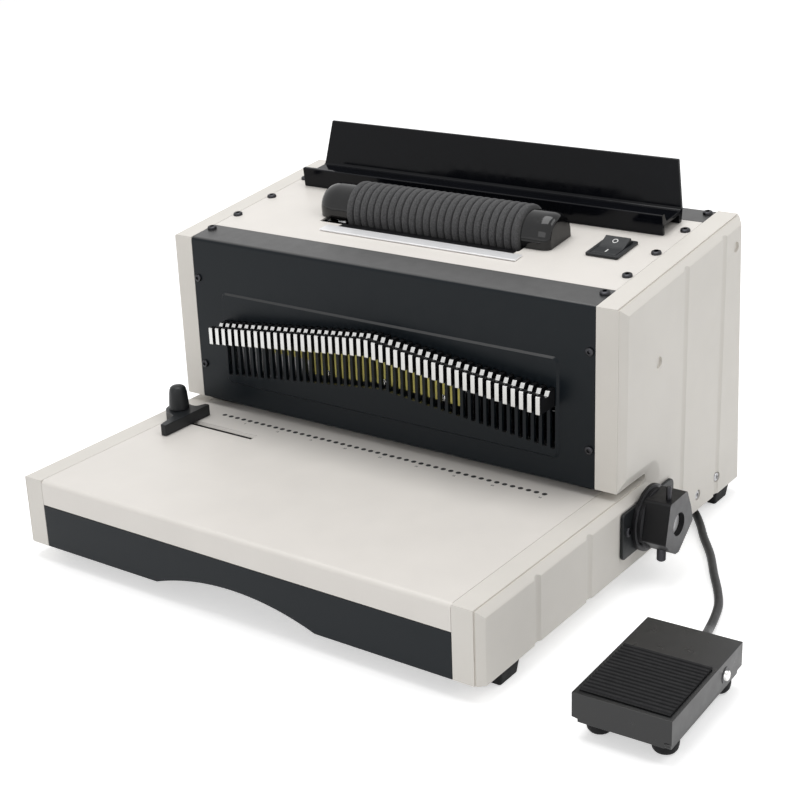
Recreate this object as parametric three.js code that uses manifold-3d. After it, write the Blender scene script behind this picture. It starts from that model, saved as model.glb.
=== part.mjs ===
// Coil binding machine: a bench punch with a row of 46 pins worked by a side shaft,
// a powered roller on top that spins the plastic coil into the book, and a foot pedal.
// Millimetres, +Z up. The machine is drawn in its own frame: X runs across it from its
// middle, Y runs back from the front edge of the table, Z is height above the table.
// The exported group moves that frame so that the origin is the middle of the footprint.

import * as THREE from 'three';
import { mergeVertices } from 'three/addons/utils/BufferGeometryUtils.js';
import Module from 'manifold-3d';

const wasm = await Module();
wasm.setup();

// Driving dimensions of the housing
const FLOOR = -63.7;
const BASE_BOTTOM = -51;
const SHEET = 1.5;
const GAP = 0.3;
const SEAM_X = 173;
const STRIP_X = 189;
const OUTER_X = 194;
const COVER_WALL = 2.5;
const FLANGE_DROP = 18.7;
const ARCH_HALF = 68;
const ARCH_RISE = 12;
const PUNCH_Y = 173.5;
const TABLE_BACK_Y = 184;
const THROAT = 6;
const THROAT_END_Y = 212;
const DECK_FRONT_Z = 134;
const DECK_SLOPE = THREE.MathUtils.degToRad(6.5);
const REAR_TOP_Y = 352.5;
const REAR_BOTTOM_Y = 364;
const FRONT_STRIP = 27;
const REAR_STRIP = 24;
const CHANNEL_WIDTH = 8;
const CHANNEL_DEPTH = 1.5;
const WELL_DEPTH = 1.6;

// Driving dimensions of the punch
const PIN_COUNT = 46;
const PITCH = 6.3;
const PIN_Y = 190;
const PIN_RADIUS = 2;
const TAB_WIDTH = 3.2;
const TAB_HEIGHT = 13;
const TAB_FRONT_Y = 152.6;
const TAB_END_Z = 60;
const TAB_RISE = 15.5;
const SLOT_WIDTH = 3.8;
const SLOT_DROP = 31;
const FIELD_RISE = 0.6;
const PIN_TIP_DROP = 53;
const LOOSE_TABS = 3;
const RAM_FRONT_Y = 181;
const RAM_BACK_Y = 197;
const RAM_TOP_Z = 100;
const ARM_BOTTOM_Z = 80;
const DIE_TOP_Z = 28;

// Driving dimensions of the drive
const SHAFT_Y = 205;
const SHAFT_Z = -21;
const SHAFT_RADIUS = 8;
const DRIVE_MODULE = 2;
const DRIVE_TEETH = 16;
const TOOTH_EASE = 0.28;
const IDLER_RADIUS = 6;
const ARM_INNER_X = 157.5;
const ARM_OUTER_X = 163;
const FRAME_INNER_X = 166;
const FRAME_OUTER_X = 170;
const ROD_X = 150;
const ROD_RADIUS = 4;

// Driving dimensions of the roller unit, in the frame of the sloping deck
const ROLLER_V = 86.4;
const ROLLER_W = 4.75;
const SLEEVE_RADIUS = 20.5;
const SLEEVE_HALF = 75;
const SLEEVE_RIBS = 24;
const CAP_RADIUS = 17.3;
const CAP_LEFT_X = 104.8;
const CAP_RIGHT_X = 98;
const CAP_WALL = 5;
const ROLLER_TEETH = 26;
const MOTOR_TEETH = 12;
const MOTOR_DROP = 19.15;
const SWITCH_X = 137;
const SWITCH_V = 88;
const ROCKER_TILT = THREE.MathUtils.degToRad(10);

// Driving dimensions of the pedal and its cord
const PEDAL_X = 282.8;
const PEDAL_Y = 52.5;
const PEDAL_TURN = THREE.MathUtils.degToRad(2);
const PEDAL_WIDTH = 62;
const PEDAL_LENGTH = 101;
const PEDAL_TOP = 30;
const PEDAL_PIVOT_Y = 24.7;
const PEDAL_PIVOT_Z = 20.5;
const CORD_DIAMETER = 6;
const COIL_X = 98;
const COIL_Y = 428;
const COIL_RADIUS = 35.5;
const COIL_TURNS = 4.5;
const COIL_SPACING = 6.6;

const finish = (color, roughness, metalness = 0) =>
  new THREE.MeshStandardMaterial({ color, roughness, metalness });
const looks = {
  cover: finish(0xcfccc5, 0.55),
  light: finish(0xdfdad2, 0.45),
  black: finish(0x26282b, 0.45),
  gloss: finish(0x15171b, 0.25),
  rubber: finish(0x1d1d1f, 0.9),
  foam: finish(0x3c3d3f, 0.95),
  steel: finish(0x9a9da0, 0.35, 0.9),
  nickel: finish(0xd6d7d4, 0.2, 1),
  aluminium: finish(0xd9dbdd, 0.25, 1),
  brass: finish(0xa89a52, 0.35, 1),
};

// Basic solids

function toSolid(geometry) {
  const bare = geometry.clone();
  bare.deleteAttribute('normal');
  bare.deleteAttribute('uv');
  const merged = mergeVertices(bare, 1e-4);
  const fromFaces = (triVerts) => new wasm.Manifold(new wasm.Mesh({
    numProp: 3,
    vertProperties: Float32Array.from(merged.attributes.position.array),
    triVerts,
  }));
  const faces = Uint32Array.from(merged.index.array);
  const solid = fromFaces(faces);
  return solid.volume() > 0 ? solid : fromFaces(faces.reverse());
}

function toGeometry(solid) {
  const mesh = solid.getMesh();
  const geometry = new THREE.BufferGeometry();
  geometry.setAttribute('position', new THREE.BufferAttribute(mesh.vertProperties, 3));
  geometry.setIndex(new THREE.BufferAttribute(mesh.triVerts, 1));
  geometry.computeVertexNormals();
  return geometry;
}

const join = (...solids) => solids.flat().reduce((sum, next) => sum.add(next));
const cut = (base, ...tools) => tools.flat().reduce((left, tool) => left.subtract(tool), base);

function box(x0, x1, y0, y1, z0, z1) {
  const geometry = new THREE.BoxGeometry(x1 - x0, y1 - y0, z1 - z0);
  geometry.translate((x0 + x1) / 2, (y0 + y1) / 2, (z0 + z1) / 2);
  return toSolid(geometry);
}

// A rod along X, Y or Z; a and b are its other two coordinates in axis order
function rod(axis, a, b, from, to, radius, sides = 16, endRadius = radius) {
  const geometry = new THREE.CylinderGeometry(endRadius, radius, to - from, sides);
  geometry.translate(0, (from + to) / 2, 0);
  if (axis === 'x') {
    geometry.rotateZ(-Math.PI / 2);
    geometry.translate(0, a, b);
  } else if (axis === 'z') {
    geometry.rotateX(Math.PI / 2);
    geometry.translate(a, b, 0);
  } else {
    geometry.translate(a, 0, b);
  }
  return toSolid(geometry);
}

const AXES = {
  x: [new THREE.Vector3(0, 1, 0), new THREE.Vector3(0, 0, 1), new THREE.Vector3(1, 0, 0)],
  y: [new THREE.Vector3(1, 0, 0), new THREE.Vector3(0, 0, 1), new THREE.Vector3(0, -1, 0)],
  z: [new THREE.Vector3(1, 0, 0), new THREE.Vector3(0, 1, 0), new THREE.Vector3(0, 0, 1)],
};

// An outline in the other two axes, drawn out along X, Y or Z, with optional holes
function prism(axis, outline, from, to, holes = []) {
  const points = (list) => list.map(([a, b]) => new THREE.Vector2(a, b));
  const shape = new THREE.Shape(points(outline));
  for (const hole of holes) {
    shape.holes.push(new THREE.Path(points(hole)));
  }
  const geometry = new THREE.ExtrudeGeometry(shape, { depth: to - from, bevelEnabled: false });
  geometry.applyMatrix4(new THREE.Matrix4().makeBasis(...AXES[axis]));
  const start = AXES[axis][2].clone().multiplyScalar(axis === 'y' ? -to : from);
  geometry.translate(start.x, start.y, start.z);
  return toSolid(geometry);
}

const rectangle = (a0, a1, b0, b1) => [[a0, b0], [a1, b0], [a1, b1], [a0, b1]];

function arc(ca, cb, radius, fromDegrees, toDegrees, steps) {
  const at = (i) => THREE.MathUtils.degToRad(fromDegrees + ((toDegrees - fromDegrees) * i) / steps);
  return Array.from({ length: steps + 1 }, (_, i) =>
    [ca + radius * Math.cos(at(i)), cb + radius * Math.sin(at(i))]);
}

// A skin through outlines of equal length that stand one after another along X
function loft(rings) {
  const count = rings[0].outline.length;
  const positions = rings.flatMap(({ x, outline }) => outline.flatMap(([y, z]) => [x, y, z]));
  const index = [];
  for (let r = 0; r < rings.length - 1; r += 1) {
    for (let i = 0; i < count; i += 1) {
      const a = r * count + i;
      const b = r * count + ((i + 1) % count);
      index.push(a, b, b + count, a, b + count, a + count);
    }
  }
  const last = (rings.length - 1) * count;
  const flat = (outline) => outline.map(([y, z]) => new THREE.Vector2(y, z));
  for (const [a, b, c] of THREE.ShapeUtils.triangulateShape(flat(rings[0].outline), [])) {
    index.push(a, c, b);
  }
  for (const [a, b, c] of THREE.ShapeUtils.triangulateShape(flat(rings.at(-1).outline), [])) {
    index.push(last + a, last + b, last + c);
  }
  const geometry = new THREE.BufferGeometry();
  geometry.setAttribute('position', new THREE.Float32BufferAttribute(positions, 3));
  geometry.setIndex(index);
  return toSolid(geometry);
}

// The same solid on the other side of the machine
function mirrored(solid) {
  return toSolid(toGeometry(solid).scale(-1, 1, 1));
}

// A profile of radius and height turned round an axis along X, Y or Z
function turned(axis, a, b, profile, sides = 16) {
  const geometry = new THREE.LatheGeometry(profile.map(([r, h]) => new THREE.Vector2(r, h)), sides);
  if (axis === 'x') {
    geometry.rotateZ(-Math.PI / 2);
    geometry.translate(0, a, b);
  } else if (axis === 'z') {
    geometry.rotateX(Math.PI / 2);
    geometry.translate(a, b, 0);
  } else {
    geometry.translate(a, 0, b);
  }
  return toSolid(geometry);
}

// Straight-flanked teeth; thin is taken off each flank so that meshing teeth stay clear
function toothHalfWidth(module, height, thin) {
  return (Math.PI * module) / 4 - thin - height * Math.tan(THREE.MathUtils.degToRad(20));
}

function gearOutline(ca, cb, teeth, module, thin, firstTooth) {
  const pitchRadius = (teeth * module) / 2;
  const tip = pitchRadius + 0.9 * module;
  const root = pitchRadius - 1.2 * module;
  const tipAngle = toothHalfWidth(module, 0.9 * module, thin) / tip;
  const rootAngle = toothHalfWidth(module, -1.2 * module, thin) / root;
  const outline = [];
  for (let k = 0; k < teeth; k += 1) {
    const middle = firstTooth + (2 * Math.PI * k) / teeth;
    for (const [radius, angle] of [[root, -rootAngle], [tip, -tipAngle], [tip, tipAngle], [root, rootAngle]]) {
      outline.push([ca + radius * Math.cos(middle + angle), cb + radius * Math.sin(middle + angle)]);
    }
  }
  return outline;
}

// Height of the sloping deck at a place along Y
const deckZ = (y) => DECK_FRONT_Z + (y - PUNCH_Y) * Math.tan(DECK_SLOPE);
const rearY = (z) => REAR_BOTTOM_Y
  + ((REAR_TOP_Y - REAR_BOTTOM_Y) * (z - BASE_BOTTOM)) / (deckZ(REAR_TOP_Y) - BASE_BOTTOM);
const DECK_LENGTH = (REAR_TOP_Y - PUNCH_Y) / Math.cos(DECK_SLOPE);

const model = new THREE.Group();
const machine = new THREE.Group();
const deck = new THREE.Group();
deck.position.set(0, PUNCH_Y, DECK_FRONT_Z);
deck.rotation.x = DECK_SLOPE;
const pedal = new THREE.Group();
pedal.position.set(PEDAL_X, PEDAL_Y, FLOOR);
pedal.rotation.z = PEDAL_TURN;
machine.add(deck, pedal);
model.add(machine);

function add(name, solid, look, parent = machine) {
  const mesh = new THREE.Mesh(toGeometry(solid), looks[look]);
  mesh.name = name;
  parent.add(mesh);
  return mesh;
}

// Side covers: moulded shells with a stepped rim, bevelled edges and upright channels

// One outline of the cover; the edges stand back by the given amounts, and the
// throat slot opens to the given radius above a sill at the given height
function coverOutline({ front, tower = front, top, rear, bottom = 0, slot, slotY, slotZ, sill }) {
  const lowest = THREE.MathUtils.radToDeg(Math.asin(Math.max(-1, (sill - slotZ) / slot)));
  return [
    [front, BASE_BOTTOM + bottom],
    [REAR_BOTTOM_Y - rear, BASE_BOTTOM + bottom],
    [REAR_TOP_Y - rear, deckZ(REAR_TOP_Y - rear) - top],
    [PUNCH_Y + tower, deckZ(PUNCH_Y + tower) - top],
    [PUNCH_Y + tower, slotZ + slot],
    ...arc(slotY, slotZ, slot, 90, lowest, 8),
    [slotY - 2, sill],
    [front, sill],
  ];
}

const throat = { slot: THROAT / 2, slotY: THROAT_END_Y, slotZ: THROAT / 2 };
const COVER_LEVELS = {
  rim: { front: 0, top: 0, rear: 0, sill: 0, ...throat },
  groove: { front: 1.2, tower: 0, top: 1.2, rear: 1.2, sill: -1.2, ...throat },
  edge: { front: 0.4, top: 0.4, rear: 0.4, slot: 3.8, slotY: THROAT_END_Y, slotZ: 3, sill: -0.4 },
  face: { front: 5, top: 5.5, rear: 5.4, slot: 12.5, slotY: 214, slotZ: 2.7, sill: -5.5 },
  hollow: { front: 2.5, top: 2.5, rear: 2.5, bottom: 2.5, slot: 5.5, slotY: THROAT_END_Y, slotZ: 3, sill: -2.5 },
  hollowEnd: { front: 7.5, top: 8, rear: 8, bottom: 4, slot: 14, slotY: 214, slotZ: 3, sill: -8 },
};

function coverBlank() {
  const ring = (x, level) => ({ x, outline: coverOutline(COVER_LEVELS[level]) });
  const shell = loft([
    ring(SEAM_X, 'rim'), ring(STRIP_X - 0.7, 'rim'), ring(STRIP_X - 0.7, 'groove'),
    ring(STRIP_X + 0.4, 'groove'), ring(STRIP_X + 0.4, 'edge'), ring(OUTER_X, 'face'),
  ]);
  const hollow = loft([
    ring(SEAM_X - 1, 'hollow'), ring(STRIP_X - 2.5, 'hollow'), ring(OUTER_X - COVER_WALL, 'hollowEnd'),
  ]);
  const half = CHANNEL_WIDTH / 2;
  const channels = [64.3, 129.2, 260.9, 319.8].map((y) =>
    box(OUTER_X - CHANNEL_DEPTH, OUTER_X + 1, y - half, y + half, BASE_BOTTOM - 1, y < PUNCH_Y ? 4 : 170));
  const screwWells = [[222.4, 84.3], [339.4, 133.8], [322, -37.5], [289.3, -39]].map(([y, z]) =>
    rod('x', y, z, OUTER_X - WELL_DEPTH, OUTER_X + 1, 4, 10));
  return cut(shell, hollow, channels, screwWells);
}

const blank = coverBlank();
add('side_cover_right', cut(blank, rod('x', SHAFT_Y, SHAFT_Z, 186, OUTER_X + 2, 9.5, 20)), 'cover');
add('side_cover_left', mirrored(blank), 'cover');

// Table: folded sheet with a front flange and the slot that the edge guide runs in

const GUIDE_X = -166.3;
const GUIDE_SLOT_Y = 137.7;
const GUIDE_SLOT_HALF = 4;
const GUIDE_SLOT_LEFT = -171;
const GUIDE_SLOT_RIGHT = -93;
const GUIDE_SLOT_LIP = 2.6;
const panelHalf = SEAM_X - GAP;
const guideSlot = [GUIDE_SLOT_LEFT, GUIDE_SLOT_RIGHT, GUIDE_SLOT_Y - GUIDE_SLOT_HALF, GUIDE_SLOT_Y + GUIDE_SLOT_HALF];

add('table_plate', join(
  prism('z', rectangle(-panelHalf, panelHalf, 0, TABLE_BACK_Y), -SHEET, 0, [rectangle(...guideSlot)]),
  box(-panelHalf, panelHalf, 0, SHEET, -FLANGE_DROP, -0.5),
  prism('x', [
    [guideSlot[3], -0.5], [guideSlot[3] - 1, -GUIDE_SLOT_LIP],
    [guideSlot[3] + 0.5, -GUIDE_SLOT_LIP], [guideSlot[3] + SHEET, -0.5],
  ], GUIDE_SLOT_LEFT, GUIDE_SLOT_RIGHT),
), 'light');

// Base front: black sheet with the low arch in its lower edge

const archRadius = (ARCH_HALF ** 2 + ARCH_RISE ** 2) / (2 * ARCH_RISE);
const archAngle = THREE.MathUtils.radToDeg(Math.asin(ARCH_HALF / archRadius));
add('base_front_panel', prism('y', [
  [panelHalf, BASE_BOTTOM],
  [panelHalf, -FLANGE_DROP - GAP],
  [-panelHalf, -FLANGE_DROP - GAP],
  [-panelHalf, BASE_BOTTOM],
  ...arc(0, BASE_BOTTOM + ARCH_RISE - archRadius, archRadius, 90 + archAngle, 90 - archAngle, 12),
], 0, SHEET), 'black');

add('bottom_plate', join(
  box(-panelHalf + 1, panelHalf - 1, 42, REAR_BOTTOM_Y - 4, BASE_BOTTOM, BASE_BOTTOM + SHEET),
  box(-160, 160, 42, 42 + SHEET, BASE_BOTTOM, BASE_BOTTOM + 10),
), 'black');

// Feet: rubber blocks on a flat flange under the four corners

const FOOT_X = 179.5;
const FRONT_FOOT_Y = 37;
const REAR_FOOT_Y = 339.5;

function foot(side, y) {
  const flange = box(160, 188, y - 20, y + 20, BASE_BOTTOM - 2, BASE_BOTTOM - GAP);
  const block = toSolid(new THREE.CylinderGeometry(16.3, 14.2, 10.9, 4, 1)
    .rotateY(Math.PI / 4).rotateX(Math.PI / 2).translate(FOOT_X, y, FLOOR + 5.45));
  const solid = join(flange, block);
  return side > 0 ? solid : mirrored(solid);
}

add('foot_front_right', foot(1, FRONT_FOOT_Y), 'rubber');
add('foot_front_left', foot(-1, FRONT_FOOT_Y), 'rubber');
add('foot_rear_right', foot(1, REAR_FOOT_Y), 'rubber');
add('foot_rear_left', foot(-1, REAR_FOOT_Y), 'rubber');

// Inner frame plates, open at the throat, that carry the die, both shafts and the deck

const IDLER_Y = SHAFT_Y + DRIVE_TEETH * DRIVE_MODULE;

function framePlate() {
  const outline = [
    [24, -47], [352, -47], [346, deckZ(346) - 3.5], [180, deckZ(180) - 3.5],
    [180, 9], [216, 9], [216, -9], [24, -9],
  ];
  const plate = prism('x', outline, FRAME_INNER_X, FRAME_OUTER_X);
  return cut(plate,
    rod('x', SHAFT_Y, SHAFT_Z, 160, 175, 12.3, 16),
    rod('x', IDLER_Y, SHAFT_Z, 160, 175, IDLER_RADIUS + 0.2, 16));
}

add('frame_right', framePlate(), 'steel');
add('frame_left', mirrored(framePlate()), 'steel');

// Punch front panel: black sheet with one slot for each pull tab, pressed out a little
// round the slots and folded over the deck

const FIRST_PIN_X = -(PITCH * (PIN_COUNT - 1)) / 2;
const pins = Array.from({ length: PIN_COUNT }, (_, i) => {
  const fromMiddle = Math.abs(i - (PIN_COUNT - 1) / 2) / ((PIN_COUNT - 1) / 2);
  return { number: i + 1, x: FIRST_PIN_X + i * PITCH, base: TAB_END_Z + TAB_RISE * (1 - fromMiddle) };
});

function panelSlot({ x, base }) {
  const half = SLOT_WIDTH / 2;
  const corner = 0.8;
  const top = base + TAB_HEIGHT + 0.5;
  const bottom = base - SLOT_DROP;
  return [
    [x - half + corner, bottom], [x + half - corner, bottom], [x + half, bottom + corner], [x + half, top],
    [x - half, top], [x - half, bottom + corner],
  ];
}

const onDeck = (v, w) => [
  PUNCH_Y + v * Math.cos(DECK_SLOPE) - w * Math.sin(DECK_SLOPE),
  DECK_FRONT_Z + v * Math.sin(DECK_SLOPE) + w * Math.cos(DECK_SLOPE),
];

const slots = pins.map(panelSlot);
add('punch_front_panel', join(
  prism('y', rectangle(-panelHalf, panelHalf, THROAT, DECK_FRONT_Z - 0.5), PUNCH_Y, PUNCH_Y + SHEET,
    [rectangle(-146, 145.5, 23, 94)]),
  prism('y', rectangle(-147, 146.5, 22, 95), PUNCH_Y - FIELD_RISE, PUNCH_Y + SHEET, slots),
  prism('x', [
    [PUNCH_Y, DECK_FRONT_Z - 6], [PUNCH_Y + SHEET, DECK_FRONT_Z - 6],
    [PUNCH_Y + SHEET, deckZ(PUNCH_Y + SHEET) - SHEET],
    onDeck(FRONT_STRIP, -SHEET), onDeck(FRONT_STRIP, 0), onDeck(0, 0),
  ], -panelHalf, panelHalf),
), 'black');

// Rear panel: black sheet folded over the back of the deck, open for the chip tray

const CHIP_HALF = 138;
const INLET_X = -112;
const INLET_Z = 12;
const GLAND_X = 152;
const GLAND_Z = -38;

const rearPanel = prism('x', [
  onDeck(DECK_LENGTH - REAR_STRIP, -SHEET),
  [rearY(deckZ(REAR_TOP_Y)) - SHEET, deckZ(REAR_TOP_Y) - SHEET],
  [REAR_BOTTOM_Y - SHEET, BASE_BOTTOM],
  [REAR_BOTTOM_Y, BASE_BOTTOM],
  [REAR_TOP_Y, deckZ(REAR_TOP_Y)],
  onDeck(DECK_LENGTH - REAR_STRIP, 0),
], -panelHalf, panelHalf);
add('rear_panel', cut(rearPanel,
  box(-CHIP_HALF - 4, CHIP_HALF + 4, 340, 380, -60, -31),
  box(INLET_X - 14.5, INLET_X + 14.5, 340, 380, INLET_Z - 10.5, INLET_Z + 10.5),
  rod('y', GLAND_X, GLAND_Z, 340, 380, 4.6, 12),
), 'black');

// Deck plate: light sheet with openings for the roller and the switch

add('top_plate', prism('z',
  rectangle(-panelHalf, panelHalf, FRONT_STRIP + GAP, DECK_LENGTH - REAR_STRIP - GAP), -SHEET, 0, [
    rectangle(-98, SLEEVE_HALF + 2.5, ROLLER_V - 23.9, ROLLER_V + 21.6),
    rectangle(SWITCH_X - 11.2, SWITCH_X + 11.2, SWITCH_V - 14.2, SWITCH_V + 14.2),
  ]), 'light', deck);

// Die block: the lower die and the pin guide above the throat, one hole for each pin,
// with the two guide rods of the ram standing on it

function pinHole({ x }) {
  return arc(x, PIN_Y, PIN_RADIUS + 0.2, 30, 330, 5);
}

function dieBlock() {
  const lower = prism('z', rectangle(-156, 156, TABLE_BACK_Y + GAP, 200), -12, 0, pins.map(pinHole));
  const guide = prism('z', rectangle(-156, 156, 184, 200), THROAT, DIE_TOP_Z, pins.map(pinHole));
  const backStop = box(-156, 156, 196, 200, -1, THROAT + 1);
  const tongues = box(-FRAME_INNER_X + GAP, FRAME_INNER_X - GAP, 193, 200, THROAT + 1, DIE_TOP_Z);
  const rodProfile = [[0, 20], [ROD_RADIUS, 20], [ROD_RADIUS, 128], [8, 128], [8, 131], [0, 131]];
  const rods = [-ROD_X, ROD_X].map((x) => turned('z', x, PIN_Y, rodProfile, 12));
  return { lower, guide, backStop, tongues, rods };
}

const die = dieBlock();
add('die_block', join(die.lower, die.guide, die.backStop, die.tongues, die.rods), 'steel');

// Ram: the bar that carries every punch pin, with an arm at each end that reaches back
// past the throat and down to a rack. The pins lie lowest at the ends, so that they cut
// one after another towards the middle. A thin plate in front of it, below the tabs,
// moves with it and backs the slots.

function tabOutline(base, backY) {
  const top = base + TAB_HEIGHT;
  const front = TAB_FRONT_Y;
  return [
    [front, base + 0.7], [front + 0.7, base], [backY, base], [backY, top],
    [front + 13, top], [front + 11, top - 3.2], [front + 7.3, top - 3.2],
    [front + 5.5, top], [front + 1, top], [front, top - 1],
  ];
}

function pullTab({ x, base }, backY) {
  return prism('x', tabOutline(base, backY), x - TAB_WIDTH / 2, x + TAB_WIDTH / 2);
}

function punchPin({ x, base }) {
  return rod('z', x, PIN_Y, base - PIN_TIP_DROP, base, PIN_RADIUS, 6);
}

const isLoose = ({ number }) => number <= LOOSE_TABS || number > PIN_COUNT - LOOSE_TABS;

function rackArm() {
  const pitchY = IDLER_Y + (DRIVE_TEETH * DRIVE_MODULE) / 2;
  const rootY = pitchY + 1.2 * DRIVE_MODULE;
  const tipY = pitchY - 0.9 * DRIVE_MODULE;
  const backY = rootY + 7;
  const toothStep = Math.PI * DRIVE_MODULE;
  const wide = toothHalfWidth(DRIVE_MODULE, -1.2 * DRIVE_MODULE, TOOTH_EASE);
  const narrow = toothHalfWidth(DRIVE_MODULE, 0.9 * DRIVE_MODULE, TOOTH_EASE);
  const outline = [[RAM_FRONT_Y, RAM_TOP_Z], [RAM_FRONT_Y, ARM_BOTTOM_Z], [rootY, ARM_BOTTOM_Z]];
  for (let k = 5; k >= 0; k -= 1) {
    const z = SHAFT_Z + toothStep * k;
    outline.push([rootY, z + wide], [tipY, z + narrow], [tipY, z - narrow], [rootY, z - wide]);
  }
  outline.push([backY, SHAFT_Z - wide], [backY, RAM_TOP_Z]);
  return prism('x', outline, ARM_INNER_X, ARM_OUTER_X);
}

function ram() {
  const lowEnd = TAB_END_Z - 4;
  const bar = prism('y', [
    [ARM_OUTER_X, lowEnd], [ARM_OUTER_X, RAM_TOP_Z], [-ARM_OUTER_X, RAM_TOP_Z], [-ARM_OUTER_X, lowEnd],
    [FIRST_PIN_X, lowEnd], [0, lowEnd + TAB_RISE], [-FIRST_PIN_X, lowEnd],
  ], RAM_FRONT_Y, RAM_BACK_Y);
  const fixedTabs = pins.filter((pin) => !isLoose(pin)).map((pin) => pullTab(pin, RAM_FRONT_Y + 2));
  const pockets = pins.filter(isLoose).map(({ x, base }) =>
    box(x - 1.9, x + 1.9, RAM_FRONT_Y - 1, RAM_FRONT_Y + 6.3, base - GAP, base + TAB_HEIGHT + GAP));
  const rodBores = [-ROD_X, ROD_X].map((x) =>
    rod('z', x, PIN_Y, 0, RAM_TOP_Z + 5, ROD_RADIUS + 0.15, 12));
  const arm = rackArm();
  const whole = join(bar, arm, mirrored(arm), fixedTabs, pins.map(punchPin));
  return cut(whole, pockets, rodBores);
}

add('punch_ram', ram(), 'steel');
add('ram_plate', prism('y', [
  [-66.7, 41.5], [0, 45.8], [65, 41.5], [65, 66], [0, 73], [-103, 62], [-103, 52], [-66.7, 52],
], RAM_FRONT_Y - GAP - SHEET, RAM_FRONT_Y - GAP), 'brass');
for (const pin of pins.filter(isLoose)) {
  const name = `pull_tab_${String(pin.number).padStart(2, '0')}`;
  add(name, pullTab(pin, RAM_FRONT_Y + 6), 'nickel');
}

// Return springs on the guide rods, hung from their collars

for (const [name, x] of [['return_spring_left', -ROD_X], ['return_spring_right', ROD_X]]) {
  const [low, high] = [RAM_TOP_Z + GAP, 128 - GAP];
  const profile = [[5, low], [7, low], [7, high], [5, high], [5, low]];
  add(name, turned('z', x, PIN_Y, profile, 12), 'steel');
}

// Main shaft with its two pinions, carried by flanged bushes in the frame plates, and the
// idler shaft behind it that turns the other way and pulls the racks down

function pinionShaft(y, bar, firstTooth) {
  const outline = gearOutline(y, SHAFT_Z, DRIVE_TEETH, DRIVE_MODULE, TOOTH_EASE, firstTooth);
  const pinion = prism('x', outline, ARM_INNER_X, ARM_OUTER_X);
  return join(bar, pinion, mirrored(pinion));
}

const shaftBar = rod('x', SHAFT_Y, SHAFT_Z, -171, 214, SHAFT_RADIUS, 16);
const idlerBar = rod('x', IDLER_Y, SHAFT_Z, -170, 170, IDLER_RADIUS, 12);
add('main_shaft', pinionShaft(SHAFT_Y, shaftBar, 0), 'nickel');
add('idler_shaft', pinionShaft(IDLER_Y, idlerBar, Math.PI / DRIVE_TEETH), 'steel');

function bush() {
  const bore = SHAFT_RADIUS + 0.25;
  const profile = [[bore, 164.2], [14, 164.2], [14, 165.7], [12, 165.7], [12, 171], [bore, 171], [bore, 164.2]];
  return turned('x', SHAFT_Y, SHAFT_Z, profile, 16);
}

add('shaft_bush_right', bush(), 'brass');
add('shaft_bush_left', mirrored(bush()), 'brass');

// Handle hub on the right-hand side, with the plate that it turns against

const HUB_FACE_X = 220;
const HUB_DISC_X = 199.3;
const HUB_BARREL_X = 202;
const plateBack = OUTER_X + GAP;
const plateFront = OUTER_X + 2.6;

add('hub_plate', cut(prism('x', [
  ...arc(173, -37, 3, 180, 270, 2), ...arc(239, -37, 5, 270, 360, 3),
  ...arc(239, -11.5, 5, 0, 90, 3), ...arc(173, -9.5, 3, 90, 180, 2),
], plateBack, plateFront), rod('x', SHAFT_Y, SHAFT_Z, 190, 200, 9.5, 16)), 'black');

const hubOutline = [[-19.2, -8.8], [-4.5, -20.6], [1, -21], [21.5, -5.3], [18.3, 5.7], [11.7, 19.9], [-13, 19]]
  .map(([y, z]) => [SHAFT_Y + y, SHAFT_Z + z]);
const HUB_SCREW_X = 209.5;
const HUB_SCREW_Y = 201;
add('handle_hub', cut(
  join(
    rod('x', SHAFT_Y, SHAFT_Z, plateFront + GAP, HUB_DISC_X, 23.5, 24),
    rod('x', SHAFT_Y, SHAFT_Z, HUB_DISC_X - 1, HUB_BARREL_X, 21, 16),
    prism('x', hubOutline, HUB_BARREL_X - 1, HUB_FACE_X),
  ),
  rod('x', SHAFT_Y, SHAFT_Z, 190, 230, SHAFT_RADIUS + 0.2, 16),
  rod('z', HUB_SCREW_X, HUB_SCREW_Y, -60, SHAFT_Z - 5, 3.5, 10),
), 'black');
add('hub_screw', rod('z', HUB_SCREW_X, HUB_SCREW_Y, SHAFT_Z - 28, SHAFT_Z - 9, 3.2, 10), 'black');

// Edge guide: a stop bar clamped in the table slot by an upright knob

const guideBar = prism('z', [
  [-151, 105.5], [-151, 155], [-155, 155], [-158, 147.5],
  ...arc(GUIDE_X, GUIDE_SLOT_Y, 10.4, 70, 250, 6),
  [-160, 124], [-156, 105.5],
], GAP, 9);
add('edge_guide', cut(guideBar, rod('z', GUIDE_X, GUIDE_SLOT_Y, -5, 12, 2.8, 12)), 'black');
add('guide_knob', turned('z', GUIDE_X, GUIDE_SLOT_Y, [
  [0, -5], [2.5, -5], [2.5, 9.3], [8.6, 9.3], [7.5, 21.5], [6.9, 24.5], [5, 26.8], [0, 27.8],
], 16), 'black');

// Chip tray: a shallow drawer under the die that pulls out at the back

function chipTray() {
  const tub = cut(
    box(-CHIP_HALF, CHIP_HALF, 152, REAR_BOTTOM_Y - 1.8, -49.2, -32.2),
    box(-CHIP_HALF + SHEET, CHIP_HALF - SHEET, 152 + SHEET, REAR_BOTTOM_Y - 3, -49.2 + SHEET, -30),
  );
  const face = box(-CHIP_HALF - 3.5, CHIP_HALF + 3.5, REAR_BOTTOM_Y - 2.5, REAR_BOTTOM_Y + 0.2, -49.2, -31.5);
  const grip = prism('x', [[-0.5, -44], [4, -42], [6, -38], [4, -38], [2.8, -40.2], [-0.5, -41.5]]
    .map(([y, z]) => [REAR_BOTTOM_Y + y, z]), -28, 28);
  return join(tub, face, grip);
}

add('chip_tray', chipTray(), 'black');

// Power inlet and cord gland on the back

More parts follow.
